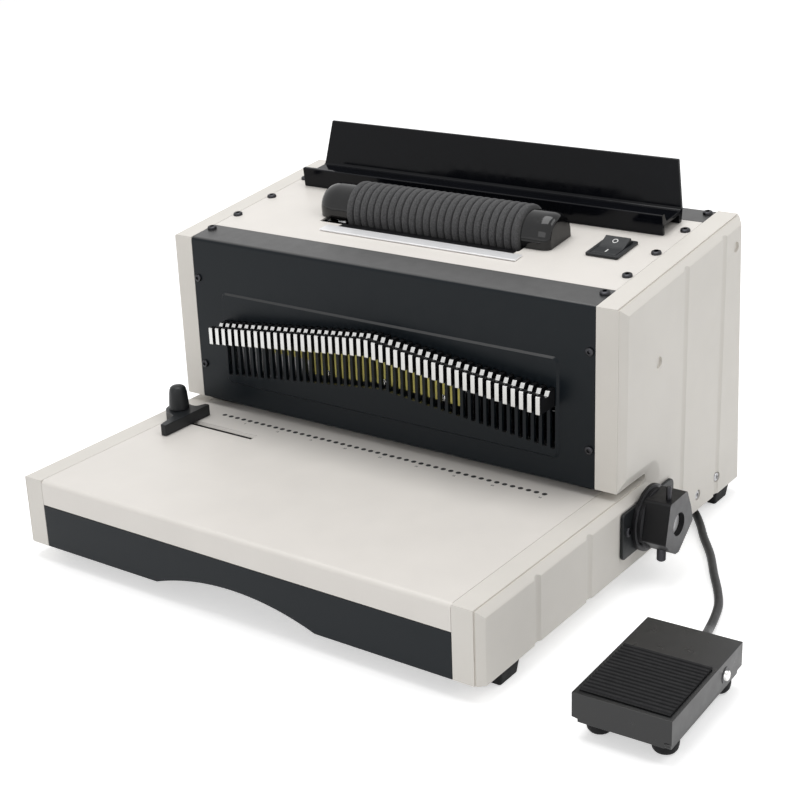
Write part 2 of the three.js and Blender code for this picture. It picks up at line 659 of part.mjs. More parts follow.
const inletY = rearY(INLET_Z);
add('power_inlet', cut(
  join(
    prism('y', [
      [INLET_X + 16, INLET_Z - 12], [INLET_X + 25, INLET_Z], [INLET_X + 16, INLET_Z + 12],
      [INLET_X - 16, INLET_Z + 12], [INLET_X - 25, INLET_Z], [INLET_X - 16, INLET_Z - 12],
    ], inletY + 0.8, inletY + 3.2),
    box(INLET_X - 14, INLET_X + 14, inletY - 20, inletY + 2, INLET_Z - 10, INLET_Z + 10),
  ),
  box(INLET_X - 12, INLET_X + 12, inletY - 15, inletY + 5, INLET_Z - 8.2, INLET_Z + 8.2),
), 'black');

const glandY = rearY(GLAND_Z);
const glandBore = CORD_DIAMETER / 2 + 0.4;
function gland(axisX, axisZ, wallY, length) {
  const profile = [
    [glandBore, -6], [4.3, -6], [4.3, 0.6], [6.5, 0.6], [6.5, 2.6], [4.9, 2.6], [4.2, length],
    [glandBore, length], [glandBore, -6],
  ];
  return turned('y', axisX, axisZ, profile.map(([r, h]) => [r, h + wallY]), 12);
}

add('cord_gland', gland(GLAND_X, GLAND_Z, glandY, 14), 'rubber');

// Roller unit on the deck: foam sleeve on a core with its gear, end caps, guide strip,
// and the motor under the plate that turns it

function sleeve() {
  const bore = 14.4;
  const rib = (2 * SLEEVE_HALF) / SLEEVE_RIBS;
  const profile = [[bore, -SLEEVE_HALF], [SLEEVE_RADIUS - 2.2, -SLEEVE_HALF]];
  for (let i = 0; i < SLEEVE_RIBS; i += 1) {
    const start = -SLEEVE_HALF + i * rib;
    profile.push([SLEEVE_RADIUS, start + 0.3 * rib], [SLEEVE_RADIUS, start + 0.7 * rib]);
    profile.push([SLEEVE_RADIUS - 2.2, start + rib]);
  }
  profile.push([bore, SLEEVE_HALF], [bore, -SLEEVE_HALF]);
  return turned('x', ROLLER_V, ROLLER_W, profile, 14);
}

function rollerCore() {
  const coreLeft = CAP_LEFT_X - CAP_WALL - 1;
  const coreRight = CAP_RIGHT_X - CAP_WALL - 1;
  const core = turned('x', ROLLER_V, ROLLER_W,
    [[0, -coreLeft], [4, -coreLeft], [4, -SLEEVE_HALF], [14, -SLEEVE_HALF], [14, SLEEVE_HALF], [4, SLEEVE_HALF],
      [4, coreRight], [0, coreRight]], 16);
  const teeth = gearOutline(ROLLER_V, ROLLER_W, ROLLER_TEETH, 1, 0.1, -Math.PI / 2);
  return join(core, prism('x', teeth, -92, -85));
}

function capOutline(scale) {
  const radius = CAP_RADIUS * scale;
  const foot = -ROLLER_W + GAP;
  return [[-radius, foot], [radius, foot], ...arc(0, 0, radius, 0, 180, 10)]
    .map(([v, w]) => [ROLLER_V + v, ROLLER_W + w]);
}

function capRings(straight, end, tip) {
  const bulge = end - straight;
  return [
    [SLEEVE_HALF + 1, 1], [straight, 1], [straight + 0.5 * bulge, 0.97], [straight + 0.85 * bulge, 0.5 + 0.5 * tip],
    [end, tip],
  ].map(([x, scale]) => ({ x, outline: capOutline(scale) }));
}

const leftCap = cut(loft(capRings(90, CAP_LEFT_X, 0.62)),
  rod('x', ROLLER_V, ROLLER_W, 60, CAP_LEFT_X - CAP_WALL, 4.3, 16),
  rod('x', ROLLER_V, ROLLER_W, 79, 95.5, 14.9, 20),
  box(79, 95.5, ROLLER_V - 14.9, ROLLER_V + 14.9, -2, ROLLER_W),
);
const rightCap = cut(loft(capRings(86, CAP_RIGHT_X, 0.7)),
  rod('x', ROLLER_V, ROLLER_W, 60, CAP_RIGHT_X - CAP_WALL, 4.3, 16),
);
add('roller_cap_left', mirrored(leftCap), 'gloss', deck);
add('roller_cap_right', rightCap, 'gloss', deck);
add('roller_core', rollerCore(), 'aluminium', deck);
add('roller_sleeve', sleeve(), 'foam', deck);

const motorW = ROLLER_W - MOTOR_DROP;
add('inserter_motor', join(
  rod('x', ROLLER_V, motorW, -148, -97, 12.4, 20),
  box(-98, -96, ROLLER_V - 16, ROLLER_V + 16, motorW - 13, -SHEET - GAP),
  box(-114, -96, ROLLER_V - 16, ROLLER_V + 16, -SHEET - GAP - 1.6, -SHEET - GAP),
), 'steel', deck);
add('motor_pinion', join(
  rod('x', ROLLER_V, motorW, -95.7, -84, 2, 12),
  prism('x', gearOutline(ROLLER_V, motorW, MOTOR_TEETH, 1, 0.1, Math.PI / 2 + Math.PI / MOTOR_TEETH), -92, -85),
), 'brass', deck);

const lipOuter = arc(ROLLER_V, ROLLER_W, 23.8, 192, 226, 5);
const lipInner = arc(ROLLER_V, ROLLER_W, 22.6, 226, 188.4, 5);
add('guide_strip', join(
  prism('x', rectangle(45.3, 63.2, GAP, SHEET), -85, 85),
  prism('x', [[62.5, GAP], ...lipOuter, ...lipInner, [62.5, SHEET]], -76, 76),
), 'aluminium', deck);

// Coil tray across the back of the deck: a lip, a raised floor and a tall leaning back

const trayHalf = 158.5;
const trayProfile = prism('x', [
  [122.6, GAP], [125.4, GAP], [125.4, 6.6], [148, 6.6], [148, GAP], [151.6, GAP],
  [162.6, 43], [159.8, 43], [151.2, 9.2], [127.5, 9.2], [125.8, 15.3], [122.6, 15.3],
], -trayHalf, trayHalf);
const trayTaper = prism('y', [[152.7, 43.5], [trayHalf, 10], [170, 10], [170, 50], [152, 50]], 145, 170);
add('coil_tray', cut(trayProfile, trayTaper, mirrored(trayTaper)), 'gloss', deck);

// Power switch: a bezel with its body under the plate, and the rocker tipped to its front

add('switch_bezel', cut(
  join(
    box(SWITCH_X - 12.5, SWITCH_X + 12.5, SWITCH_V - 15.5, SWITCH_V + 15.5, GAP, 2.2),
    box(SWITCH_X - 10.9, SWITCH_X + 10.9, SWITCH_V - 13.9, SWITCH_V + 13.9, -20, 1),
  ),
  box(SWITCH_X - 10, SWITCH_X + 10, SWITCH_V - 13, SWITCH_V + 13, -12, 5),
), 'black', deck);
const rocker = new THREE.Group();
rocker.position.set(0, SWITCH_V, -2);
rocker.rotation.x = ROCKER_TILT;
deck.add(rocker);
add('switch_rocker', prism('x', [
  [-11.9, 2.5], [-8, -5], [8, -5], [11.9, 2.5], [11.9, 6.4], [0, 4.3], [-11.9, 6.4],
], SWITCH_X - 9.6, SWITCH_X + 9.6), 'black', rocker);

// Foot pedal: a pan on rubber feet, a treadle hinged on a cross pin, and its ribbed pad

const pedalHalf = PEDAL_WIDTH / 2;
const pedalFront = -PEDAL_LENGTH / 2;
const pedalRear = PEDAL_LENGTH / 2;

function treadle() {
  const under = PEDAL_TOP - SHEET;
  const top = box(-pedalHalf, pedalHalf, pedalFront, pedalRear, under, PEDAL_TOP);
  const sides = [
    box(-pedalHalf, -pedalHalf + SHEET, pedalFront, pedalRear, 14, PEDAL_TOP - 0.5),
    box(pedalHalf - SHEET, pedalHalf, pedalFront, pedalRear, 14, PEDAL_TOP - 0.5),
  ];
  const apron = prism('y', [
    [-pedalHalf, 15], [-pedalHalf + 4, 15], [-pedalHalf + 4, 11.5], [pedalHalf - 4, 11.5],
    [pedalHalf - 4, 15], [pedalHalf, 15], [pedalHalf, PEDAL_TOP - 0.5], [-pedalHalf, PEDAL_TOP - 0.5],
  ], pedalFront, pedalFront + SHEET);
  const bores = rod('x', PEDAL_PIVOT_Y, PEDAL_PIVOT_Z, -pedalHalf - 2, pedalHalf + 2, 2.2, 12);
  return cut(join(top, sides, apron), bores);
}

function pedalPan() {
  const outer = prism('x', [
    [pedalFront + 4.5, 8], [pedalRear - 0.8, 8], [pedalRear - 0.8, 26.5], [PEDAL_PIVOT_Y - 8, 26],
    [PEDAL_PIVOT_Y - 16, 18], [pedalFront + 4.5, 16],
  ], -28.6, 28.6);
  const inner = box(-28.6 + SHEET, 28.6 - SHEET, pedalFront + 4.5 + SHEET, pedalRear - 0.8 - SHEET, 8 + SHEET, 40);
  return cut(outer, inner,
    rod('x', PEDAL_PIVOT_Y, PEDAL_PIVOT_Z, -32, 32, 2.2, 12),
    rod('y', 0, 15, pedalRear - 5, pedalRear + 5, 4.6, 12));
}

add('pedal_treadle', treadle(), 'black', pedal);
add('pedal_base', pedalPan(), 'black', pedal);

function pedalPad() {
  const ribs = 16;
  const front = -46.5;
  const length = 58.5;
  const step = length / ribs;
  const outline = [[front + length, PEDAL_TOP + GAP], [front + length, PEDAL_TOP + 1]];
  for (let i = ribs; i > 0; i -= 1) {
    const end = front + i * step;
    outline.push([end - 0.15 * step, PEDAL_TOP + 1.8], [end - 0.6 * step, PEDAL_TOP + 1.8]);
    outline.push([end - 0.75 * step, PEDAL_TOP + 1], [end - step, PEDAL_TOP + 1]);
  }
  outline.push([front, PEDAL_TOP + GAP]);
  return prism('x', outline.reverse(), -28, 28);
}

add('pedal_pad', pedalPad(), 'rubber', pedal);
add('pedal_pin', turned('x', PEDAL_PIVOT_Y, PEDAL_PIVOT_Z, [
  [0, -33.4], [3, -33.4], [3.4, -31.3], [2, -31.3], [2, 31.3], [3.4, 31.3], [3, 33.4], [0, 33.4],
], 12), 'nickel', pedal);
add('pedal_spring', turned('z', 0, -12, [
  [4, 9.8], [5.5, 9.8], [5.5, 28.2], [4, 28.2], [4, 9.8],
], 12), 'steel', pedal);

const pedalFoot = (x, y) => turned('z', x, y, [
  [0, 0], [5, 0], [7.4, 2], [8.2, 5], [8.2, 7.7], [0, 7.7],
], 14);
for (const [name, x, y] of [
  ['pedal_foot_front_left', -20.5, -35], ['pedal_foot_front_right', 20.5, -35],
  ['pedal_foot_rear_left', -20.5, 39], ['pedal_foot_rear_right', 20.5, 39],
]) {
  add(name, pedalFoot(x, y), 'rubber', pedal);
}
const GLAND_LENGTH = 13;
add('pedal_gland', gland(0, 15, pedalRear - 0.8, GLAND_LENGTH), 'rubber', pedal);

// Pedal cord: from the gland at the back into a round coil behind the machine, then
// under the machine and out past the rear foot to the pedal

const cordLow = FLOOR + CORD_DIAMETER / 2 + 0.05;

// The coil, wound in from its outside on the upper layer and out again on the lower
function coilPoint(turn) {
  const half = COIL_TURNS / 2;
  const inner = COIL_RADIUS - (COIL_SPACING * half) / 2;
  const radius = inner + COIL_SPACING * Math.abs(turn - half);
  const fall = THREE.MathUtils.smoothstep(turn, half - 0.25, half + 0.25);
  const angle = 2 * Math.PI * turn;
  return new THREE.Vector3(
    COIL_X + radius * Math.cos(angle),
    COIL_Y + radius * Math.sin(angle),
    cordLow + COIL_SPACING * (1 - fall),
  );
}

const COIL_STEPS = 20;
const coilPoints = Array.from({ length: COIL_STEPS * COIL_TURNS + 1 }, (_, i) => coilPoint(i / COIL_STEPS));
const coilStart = coilPoints[0].clone().add(new THREE.Vector3(0, -CORD_DIAMETER, 0));
const coilEnd = coilPoints.at(-1).clone().add(new THREE.Vector3(0, -CORD_DIAMETER, 0));

function tube(points, sides, steps, radius = CORD_DIAMETER / 2) {
  const path = new THREE.CatmullRomCurve3(points, false, 'centripetal');
  const ring = arc(0, 0, radius, 0, 360 - 360 / sides, sides - 1).map(([a, b]) => new THREE.Vector2(a, b));
  return toSolid(new THREE.ExtrudeGeometry(new THREE.Shape(ring), {
    extrudePath: path, steps, bevelEnabled: false,
  }));
}

const pedalPoint = (x, y, z) => new THREE.Vector3(x, y, z)
  .applyAxisAngle(new THREE.Vector3(0, 0, 1), PEDAL_TURN)
  .add(new THREE.Vector3(PEDAL_X, PEDAL_Y, FLOOR));
const pedalEntry = pedalPoint(0, pedalRear - 0.8 + GLAND_LENGTH + GAP, 15);

const leadPoints = [
  [GLAND_X, glandY + 14 + GAP, GLAND_Z],
  [GLAND_X, glandY + 21, GLAND_Z],
  [GLAND_X - 1.5, glandY + 30, GLAND_Z - 4],
  [GLAND_X - 6, glandY + 40, GLAND_Z - 12.5],
].map((p) => new THREE.Vector3(...p));
const leadEnd = coilStart.clone().add(new THREE.Vector3(0, -GAP, 0));
const lead = [...leadPoints, leadEnd.clone().add(new THREE.Vector3(0, -8, 0)), leadEnd];

const runStart = coilEnd.clone().add(new THREE.Vector3(0, -GAP, 0));
const runMiddle = [
  [56.5, 398], [61, 378], [74, 358], [96, 342], [122, 333], [148, 327], [168, 318], [184, 305],
  [197, 288], [208.5, 270], [224.5, 247], [239.5, 221], [252, 200], [260, 184], [265.5, 166],
].map(([x, y]) => new THREE.Vector3(x, y, cordLow));
const run = [
  runStart,
  runStart.clone().add(new THREE.Vector3(0, -8, 0)),
  ...runMiddle,
  new THREE.Vector3(270, 148, FLOOR + 4.6),
  new THREE.Vector3(275.4, 133, FLOOR + 10.2),
  pedalPoint(0, pedalRear - 0.8 + GLAND_LENGTH + 7, 14.6),
  pedalEntry,
];

add('pedal_cord_lead', tube(lead, 8, 8), 'rubber');
add('pedal_cord_coil', tube([coilStart, ...coilPoints, coilEnd], 6, COIL_STEPS * COIL_TURNS + 2), 'rubber');
add('pedal_cord_run', tube(run, 8, 34), 'rubber');

// Least gap of the coil to itself, between points more than half a turn apart
function coilGap() {
  let least = Infinity;
  for (let i = 0; i < coilPoints.length; i += 1) {
    for (let j = i + COIL_STEPS / 2; j < coilPoints.length; j += 1) {
      least = Math.min(least, coilPoints[i].distanceTo(coilPoints[j]) - CORD_DIAMETER);
    }
  }
  return least;
}

const lengthOf = (points) => new THREE.CatmullRomCurve3(points, false, 'centripetal').getLength();
const cordLength = lengthOf(lead) + lengthOf([coilStart, ...coilPoints, coilEnd]) + lengthOf(run);
console.log(`coil gap to itself ${coilGap().toFixed(2)} mm, cord length ${cordLength.toFixed(0)} mm`);

// The origin is the middle of the footprint, cord left out, at the level it stands on

const footprint = new THREE.Box3();
model.updateMatrixWorld(true);
model.traverse((object) => {
  if (object.isMesh && !object.name.startsWith('pedal_cord')) {
    footprint.expandByObject(object, true);
  }
});
const middle = footprint.getCenter(new THREE.Vector3());
machine.position.set(-middle.x, -middle.y, -footprint.min.z);

export default model;
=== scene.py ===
"""Looks of the coil binding machine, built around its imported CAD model.

Pieces are drawn in millimetres in the machine's own frame, as the part's source draws them: X runs
across from the middle, Y runs back from the front edge of the table, Z is height above the table.
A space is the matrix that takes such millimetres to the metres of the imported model.
"""

import math

import bmesh
import bpy
from mathutils import Matrix, Vector


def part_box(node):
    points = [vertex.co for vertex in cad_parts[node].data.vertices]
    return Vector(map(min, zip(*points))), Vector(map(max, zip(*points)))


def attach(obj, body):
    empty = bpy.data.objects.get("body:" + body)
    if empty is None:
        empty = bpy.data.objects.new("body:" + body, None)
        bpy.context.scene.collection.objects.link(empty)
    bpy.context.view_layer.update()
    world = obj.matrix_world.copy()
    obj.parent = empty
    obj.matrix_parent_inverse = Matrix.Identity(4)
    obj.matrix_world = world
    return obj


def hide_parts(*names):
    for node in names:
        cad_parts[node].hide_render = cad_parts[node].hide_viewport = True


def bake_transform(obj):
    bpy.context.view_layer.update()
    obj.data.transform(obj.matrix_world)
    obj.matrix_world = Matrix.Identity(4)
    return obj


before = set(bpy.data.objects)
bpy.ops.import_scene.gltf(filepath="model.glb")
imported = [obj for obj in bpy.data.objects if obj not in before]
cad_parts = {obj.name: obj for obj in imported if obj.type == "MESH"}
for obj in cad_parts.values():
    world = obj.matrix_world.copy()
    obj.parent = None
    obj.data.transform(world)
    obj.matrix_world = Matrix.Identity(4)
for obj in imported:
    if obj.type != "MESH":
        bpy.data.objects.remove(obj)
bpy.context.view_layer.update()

# Driving dimensions, in millimetres, the same as in the part's source

FLOOR = -63.7
BASE_BOTTOM = -51.0
SKIRT_Z = -18.7
SHEET = 1.5
GAP = 0.3
SEAM_X = 173.0
PANEL_HALF = SEAM_X - GAP
STRIP_X = 189.0
OUTER_X = 194.0
PUNCH_Y = 173.5
TABLE_BACK_Y = 184.0
THROAT = 6.0
DECK_Z = 134.0
DECK_SLOPE = math.radians(6.5)
REAR_TOP_Y = 352.5
REAR_BOTTOM_Y = 364.0
FRONT_STRIP = 27.0
REAR_STRIP = 24.0
DECK_LENGTH = (REAR_TOP_Y - PUNCH_Y) / math.cos(DECK_SLOPE)
PIN_COUNT = 46
PITCH = 6.3
FIRST_PIN_X = -PITCH * (PIN_COUNT - 1) / 2
PIN_Y = 190.0
PIN_RADIUS = 1.85
PIN_TIP_DROP = 53.0
TAB_WIDTH = 3.2
TAB_HEIGHT = 13.0
TAB_FRONT_Y = 152.6
TAB_END_Z = 60.0
TAB_RISE = 15.5
LOOSE_TABS = 3
SLOT_HALF = 1.9
SLOT_DROP = 31.0
FIELD_RISE = 1.6
FIELD_SLOPE = 1.8
RAM_HALF = 163.0
RAM_TOP = 100.0
RAM_Y = 181.0
RAM_PLATE_Y = 179.2
SHAFT_Y = 205.0
SHAFT_Z = -21.0
SHAFT_HOLE_RADIUS = 9.5
HUB_SCREW_X = 209.5
HUB_SCREW_Y = 201.0
ROLLER_V = 86.4
ROLLER_W = 4.75
SLEEVE_RADIUS = 20.5
SLEEVE_HALF = 75.0
SLEEVE_RIBS = 24
CAP_RADIUS = 17.3
SWITCH_X = 137.0
SWITCH_V = 88.0
ROCKER_TILT = math.radians(10)
GUIDE_X = -166.3
GUIDE_SLOT_Y = 137.7
GUIDE_SLOT = (-171.0, -93.0, GUIDE_SLOT_Y - 4, GUIDE_SLOT_Y + 4)
CHIP_HALF = 138.0
INLET_X = -112.0
INLET_Z = 12.0
FOOT_X = 179.5
GLAND_X = 152.0
GLAND_Z = -38.0
GLAND_LENGTH = 14.0
GLAND_HOLE_RADIUS = 4.6
PEDAL_X = 282.8
PEDAL_Y = 52.5
PEDAL_TURN = math.radians(2)
PEDAL_WIDTH = 62.0
PEDAL_LENGTH = 101.0
PEDAL_TOP = 30.0
PEDAL_WALL_Y = PEDAL_LENGTH / 2 - 0.8
PEDAL_PIVOT_Y = 24.7
PEDAL_PIVOT_Z = 20.5
PEDAL_CORD_Z = 15.0
PEDAL_GLAND_LENGTH = 13.0
CORD_DIAMETER = 6.0
CORD_LOW = FLOOR + CORD_DIAMETER / 2 + 0.05
COIL_X = 98.0
COIL_Y = 428.0
COIL_RADIUS = 35.5
COIL_TURNS = 4.5
COIL_SPACING = 6.6
COIL_STEPS = 20
CORD_STEP = 2.0

# Printing on the table, in millimetres

DOT_Y = 161.2
DOT_RADIUS = 1.9
NUMBER_Y = 155.2
NUMBER_SIZE = 2.6
NUMBER_DEPTH = 0.03

# Shading: edges up to NARROW_EDGE millimetres get fewer segments, and angles are in degrees

NARROW_EDGE = 0.35
SHARP_WITH_BEVEL = 50
NOISE_MIDDLE = (0.3, 0.7)

# Camera, set from the photograph's vanishing lines

IMAGE_SIZE = 800
SENSOR = 36.0
FOCAL_PIXELS = 1627.98
CAMERA_PLACE = (650.253, -698.403, 460.230)
CAMERA_AZIMUTH = math.radians(36.0424)
CAMERA_ELEVATION = math.radians(21.3351)
CAMERA_ROLL = math.radians(-2.2053)

# Floor and light, in metres and watts

FLOOR_HALF = 6.0
FLOOR_DROP = 0.0004
FLOOR_GLOW = 0.5
ROOM_LIGHT = 0.45
WHITE = (1, 1, 1, 1)
LAMP_AIM = Vector((0, 0, 0.1))

# Spaces

table_low, table_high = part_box("table_plate")
ORIGIN = Vector(((table_low.x + table_high.x) / 2, table_low.y, table_high.z))
MACHINE = Matrix.Translation(ORIGIN) @ Matrix.Scale(0.001, 4)
DECK = MACHINE @ Matrix.Translation((0, PUNCH_Y, DECK_Z)) @ Matrix.Rotation(DECK_SLOPE, 4, "X")
PEDAL = MACHINE @ Matrix.Translation((PEDAL_X, PEDAL_Y, FLOOR)) @ Matrix.Rotation(PEDAL_TURN, 4, "Z")
ROCKER = DECK @ Matrix.Translation((0, SWITCH_V, -2)) @ Matrix.Rotation(ROCKER_TILT, 4, "X")


def deck_z(y):
    """Height of the sloping deck at a place along Y."""
    return DECK_Z + (y - PUNCH_Y) * math.tan(DECK_SLOPE)


def rear_y(z):
    """Place of the leaning rear face at a height."""
    top = deck_z(REAR_TOP_Y)
    return REAR_BOTTOM_Y + (REAR_TOP_Y - REAR_BOTTOM_Y) * (z - BASE_BOTTOM) / (top - BASE_BOTTOM)


def on_deck(v, w):
    """Y and Z of a place given along and above the deck."""
    cos, sin = math.cos(DECK_SLOPE), math.sin(DECK_SLOPE)
    return PUNCH_Y + v * cos - w * sin, DECK_Z + v * sin + w * cos


# Outlines


def arc(ca, cb, radius, start, end, steps):
    """Points of an arc given in degrees."""
    angles = [math.radians(start + (end - start) * i / steps) for i in range(steps + 1)]
    return [(ca + radius * math.cos(t), cb + radius * math.sin(t)) for t in angles]


def rectangle(a0, a1, b0, b1):
    return [(a0, b0), (a1, b0), (a1, b1), (a0, b1)]


def around(a, b, half_a, half_b):
    """A rectangle given by its centre."""
    return rectangle(a - half_a, a + half_a, b - half_b, b + half_b)


def fillet(corners, radius=0, steps=4):
    """Rounds the corners of an outline. A corner may carry its own radius as a third number."""
    outline = []
    for i, corner in enumerate(corners):
        size = corner[2] if len(corner) > 2 else radius
        here = Vector(corner[:2])
        before = (Vector(corners[i - 1][:2]) - here).normalized()
        after = (Vector(corners[(i + 1) % len(corners)][:2]) - here).normalized()
        angle = before.angle(after)
        if size == 0 or angle > math.pi - 0.01:
            outline.append(tuple(here))
            continue
        reach = size / math.tan(angle / 2)
        start, end = here + before * reach, here + after * reach
        centre = here + (before + after).normalized() * (size / math.sin(angle / 2))
        first = math.atan2(start.y - centre.y, start.x - centre.x)
        sweep = math.atan2(end.y - centre.y, end.x - centre.x) - first
        sweep = (sweep + math.pi) % (2 * math.pi) - math.pi
        for k in range(steps + 1):
            t = first + sweep * k / steps
            outline.append((centre.x + size * math.cos(t), centre.y + size * math.sin(t)))
    return outline


# Meshes in millimetres


def spot(axis, a, b, c):
    """A place from its two coordinates across an axis and its place along it."""
    return {"x": (c, a, b), "y": (a, c, b), "z": (a, b, c)}[axis]


def add_rings(bm, rings):
    """A skin through rings of places of equal count, with a face over each end."""
    loops = [[bm.verts.new(p) for p in ring] for ring in rings]
    count = len(loops[0])
    for low, high in zip(loops, loops[1:]):
        for i in range(count):
            j = (i + 1) % count
            bm.faces.new((low[i], low[j], high[j], high[i]))
    bm.faces.new(loops[0])
    bm.faces.new(loops[-1])
    return bm


def prism(axis, outline, low, high, bm=None):
    """An outline drawn out along an axis."""
    return add_rings(bm or bmesh.new(), [[spot(axis, a, b, c) for a, b in outline] for c in (low, high)])


def across(outline, half):
    """A prism along X, evenly to both sides of the middle."""
    return prism("x", outline, -half, half)


def box(x0, x1, y0, y1, z0, z1, bm=None):
    return prism("z", rectangle(x0, x1, y0, y1), z0, z1, bm)


def lathe(axis, a, b, profile, sides, bm=None):
    """A closed profile of radius and height turned round an axis; radius 0 lies on the axis."""
    bm = bm or bmesh.new()
    turns = [2 * math.pi * i / sides for i in range(sides)]
    rows = []
    for radius, height in profile:
        around = turns if radius else [0]
        rows.append([
            bm.verts.new(spot(axis, a + radius * math.cos(t), b + radius * math.sin(t), height))
            for t in around
        ])
    pairs = list(zip(rows, rows[1:]))
    if profile[0][0] != 0:
        pairs.append((rows[-1], rows[0]))
    for low, high in pairs:
        for i in range(sides):
            j = (i + 1) % sides
            corners = [low[i % len(low)], low[j % len(low)], high[j % len(high)], high[i % len(high)]]
            corners = list(dict.fromkeys(corners))
            if len(corners) > 2:
                bm.faces.new(corners)
    return bm


def rod(axis, a, b, low, high, radius, sides=32, bm=None):
    return lathe(axis, a, b, [(0, low), (radius, low), (radius, high), (0, high)], sides, bm)


def merge(whole, *others):
    """Several meshes as one."""
    for other in others:
        copy = bpy.data.meshes.new("copy")
        other.to_mesh(copy)
        whole.from_mesh(copy)
        bpy.data.meshes.remove(copy)
        other.free()
    return whole


def sided(bm, side):
    """A mesh drawn for the right, mirrored to the left where side is -1."""
    bm.transform(Matrix.Diagonal((side, 1, 1, 1)))
    return bm


# Pieces


def link(name, data):
    """A new object in the scene."""
    thing = bpy.data.objects.new(name, data)
    bpy.context.scene.collection.objects.link(thing)
    return thing


def make_object(name, bm, space):
    bm.transform(space)
    bmesh.ops.recalc_face_normals(bm, faces=bm.faces)
    mesh = bpy.data.meshes.new(name)
    bm.to_mesh(mesh)
    bm.free()
    return link(name, mesh)


def settle(piece):
    """Applies a piece's modifiers to its mesh."""
    graph = bpy.context.evaluated_depsgraph_get()
    mesh = bpy.data.meshes.new_from_object(piece.evaluated_get(graph))
    old = piece.data
    piece.modifiers.clear()
    piece.data = mesh
    bpy.data.meshes.remove(old)
    mesh.name = piece.name


def add(bm):
    """A step of carving that joins a mesh to a piece."""
    return "UNION", bm


def cut(bm):
    """A step of carving that takes a mesh away from a piece."""
    return "DIFFERENCE", bm


def carve(piece, operation, bm, space):
    tool = make_object("tool", bm, space)
    change = piece.modifiers.new("carve", "BOOLEAN")
    change.operation = operation
    change.solver = "EXACT"
    change.object = tool
    settle(piece)
    bpy.data.objects.remove(tool)


def soften(piece, width, angle):
    """Rounds a piece's edges; width is in millimetres. Flat faces stay evenly shaded."""
    sharp = angle + 10
    piece.data.polygons.foreach_set("use_smooth", [True] * len(piece.data.polygons))
    if width:
        bevel = piece.modifiers.new("edges", "BEVEL")
        bevel.width = width * 0.001
        bevel.segments = 3 if width > NARROW_EDGE else 2
        bevel.limit_method = "ANGLE"
        bevel.angle_limit = math.radians(angle)
        bevel.use_clamp_overlap = True
        settle(piece)
        sharp = SHARP_WITH_BEVEL
    piece.data.set_sharp_from_angle(angle=math.radians(sharp))
    weigh = piece.modifiers.new("normals", "WEIGHTED_NORMAL")
    weigh.keep_sharp = True
    settle(piece)


def dress(piece, body, look, nodes=()):
    """Gives a piece its body and material, and hides the CAD nodes that it stands for."""
    finish, material = LOOKS[look]
    piece.data.materials.clear()
    piece.data.materials.append(material)
    if body:
        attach(piece, body)
    if nodes:
        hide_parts(*nodes)
    return piece


def part(name, look, bm, *steps, node=None, body="housing", space=MACHINE, edge=0.3, angle=30, slot=None):
    """A whole piece: a mesh, steps of carving, softened edges, and what dress gives it."""
    piece = make_object(name, bm, space)
    for operation, other in steps:
        carve(piece, operation, other, space)
    soften(piece, edge, angle)
    return dress(piece, body, look, [node] if node else ())


# Materials


def set_inputs(node, **values):
    """Sets inputs of a shader node; an underscore in a name stands for a space."""
    for name, value in values.items():
        node.inputs[name.replace("_", " ")].default_value = value
    return node


